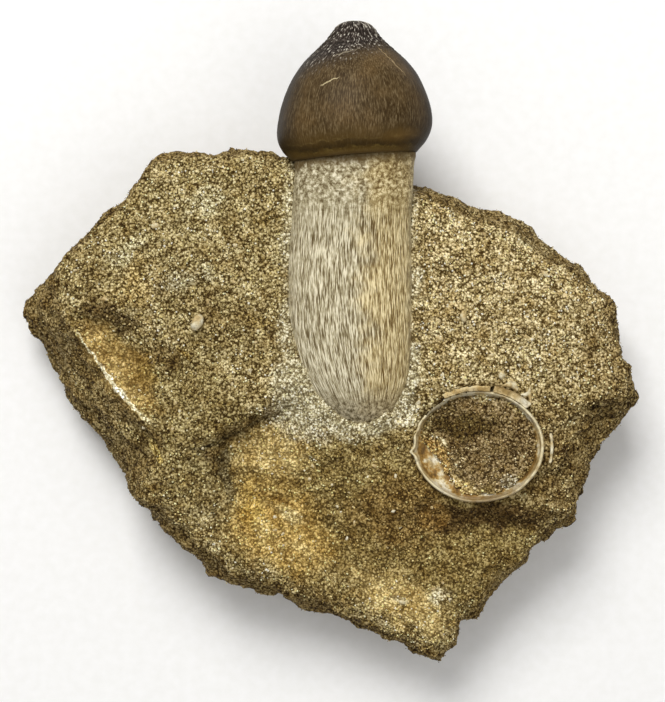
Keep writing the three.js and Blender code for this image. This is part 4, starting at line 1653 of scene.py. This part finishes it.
@dataclass
class Studio:
    """The plain pale floor, the soft lights and the camera that looks straight down."""

    eye: tuple[float, float, float] = (0.73 * MM, -0.91 * MM, 400 * MM)
    focal_pixels: float = 2057.0
    picture_height: float = 702.0
    floor_size: float = 3.0
    overhead: float = 0.5
    horizon: float = 0.16

    def build(self) -> None:
        """Makes the floor, the lights and the camera."""
        self.floor()
        self.camera()
        self.lamp("key", (-0.2, 0.62, 0.8), 0.5, 9.0)
        self.lamp("fill", (0.5, -0.3, 0.8), 0.8, 1.6)
        self.sky()
        bpy.context.scene.view_settings.view_transform = "Standard"

    def sky(self) -> None:
        """Surrounds the scene with soft white light, strongest overhead."""
        world = bpy.data.worlds.new("studio")
        world.use_nodes = True
        tree = world.node_tree
        tree.nodes.clear()
        direction = put(tree, "ShaderNodeTexCoord", {}, out="Generated")
        up = coordinate(tree, direction, "Z")
        strength = fitted(tree, up, 0.0, 1.0, (self.horizon, self.overhead))
        light = put(tree, "ShaderNodeBackground", {"Color": (1, 1, 1, 1), "Strength": strength})
        put(tree, "ShaderNodeOutputWorld", {"Surface": light})
        bpy.context.scene.world = world

    def floor(self) -> None:
        """Lays the floor at the height of the block's underside."""
        bm = bmesh.new()
        bmesh.ops.create_grid(bm, x_segments=1, y_segments=1, size=self.floor_size / 2)
        mesh = bpy.data.meshes.new("floor")
        bm.to_mesh(mesh)
        bm.free()
        mesh.materials.append(FloorFinish().build())
        floor = bpy.data.objects.new("floor", mesh)
        bpy.context.scene.collection.objects.link(floor)

    def camera(self) -> None:
        """Places the camera above the block, with the crown at the top of the picture."""
        data = bpy.data.cameras.new("camera")
        data.sensor_width = 36.0
        data.lens = data.sensor_width * self.focal_pixels / self.picture_height
        data.clip_start, data.clip_end = 0.01, 20
        camera = bpy.data.objects.new("camera", data)
        camera.location = self.eye
        bpy.context.scene.collection.objects.link(camera)
        bpy.context.scene.camera = camera

    def lamp(self, name: str, place: tuple[float, float, float], size: float, power: float) -> None:
        """Hangs one square soft light that faces the block.

        Args:
            name: its name.
            place: where it hangs, in metres.
            size: its side, in metres.
            power: its power in watts.
        """
        data = bpy.data.lights.new(name, "AREA")
        data.size = size
        data.energy = power
        light = bpy.data.objects.new(name, data)
        light.location = place
        light.rotation_mode = "QUATERNION"
        light.rotation_quaternion = Vector(place).to_track_quat("Z", "Y")
        bpy.context.scene.collection.objects.link(light)


def main() -> None:
    """Builds the studio and every piece, in order."""
    logging.basicConfig(level=logging.INFO, format="%(name)s %(message)s")
    Studio().build()
    tint = StoneTint()
    sandstone = SandstoneFinish().build(tint)
    bone = PaleBoneFinish().build()
    ochre = PaleBoneFinish("ochre_fossil_bone", OCHRE_CLOUDS).build()
    block = Block().build(sandstone)
    fill = RingSand("vertebra_fill", "vertebra_sand", "sandstone", 0.3 * MM, 0.35 * MM).build(sandstone)
    for number, (kind, share) in enumerate(GRAIN_SHARES.items()):
        SandGrains(kind, share, seed=number + 11).build([block, fill], GrainFinish(kind).build(tint))
    ToothRoot().build(RootBoneFinish().build())
    ToothCrown().build(EnamelFinish().build())
    Vertebra().build(bone)
    ground = Ground(block)
    RimSplints(ground).build(bone)
    Clasts(ground).build(bone)
    for node in SMALL_BONES:
        kind = RimFlake if node.startswith("flake") else FinerCopy
        streaked = 0.5 if kind is RimFlake else 0.0
        finish = ochre if node == "flake_left" else bone
        kind(node, node + "_bone", "pale_bone", 0.14 * MM, 0.16 * MM, streaked=streaked).build(finish)


if __name__ == "__main__":
    main()
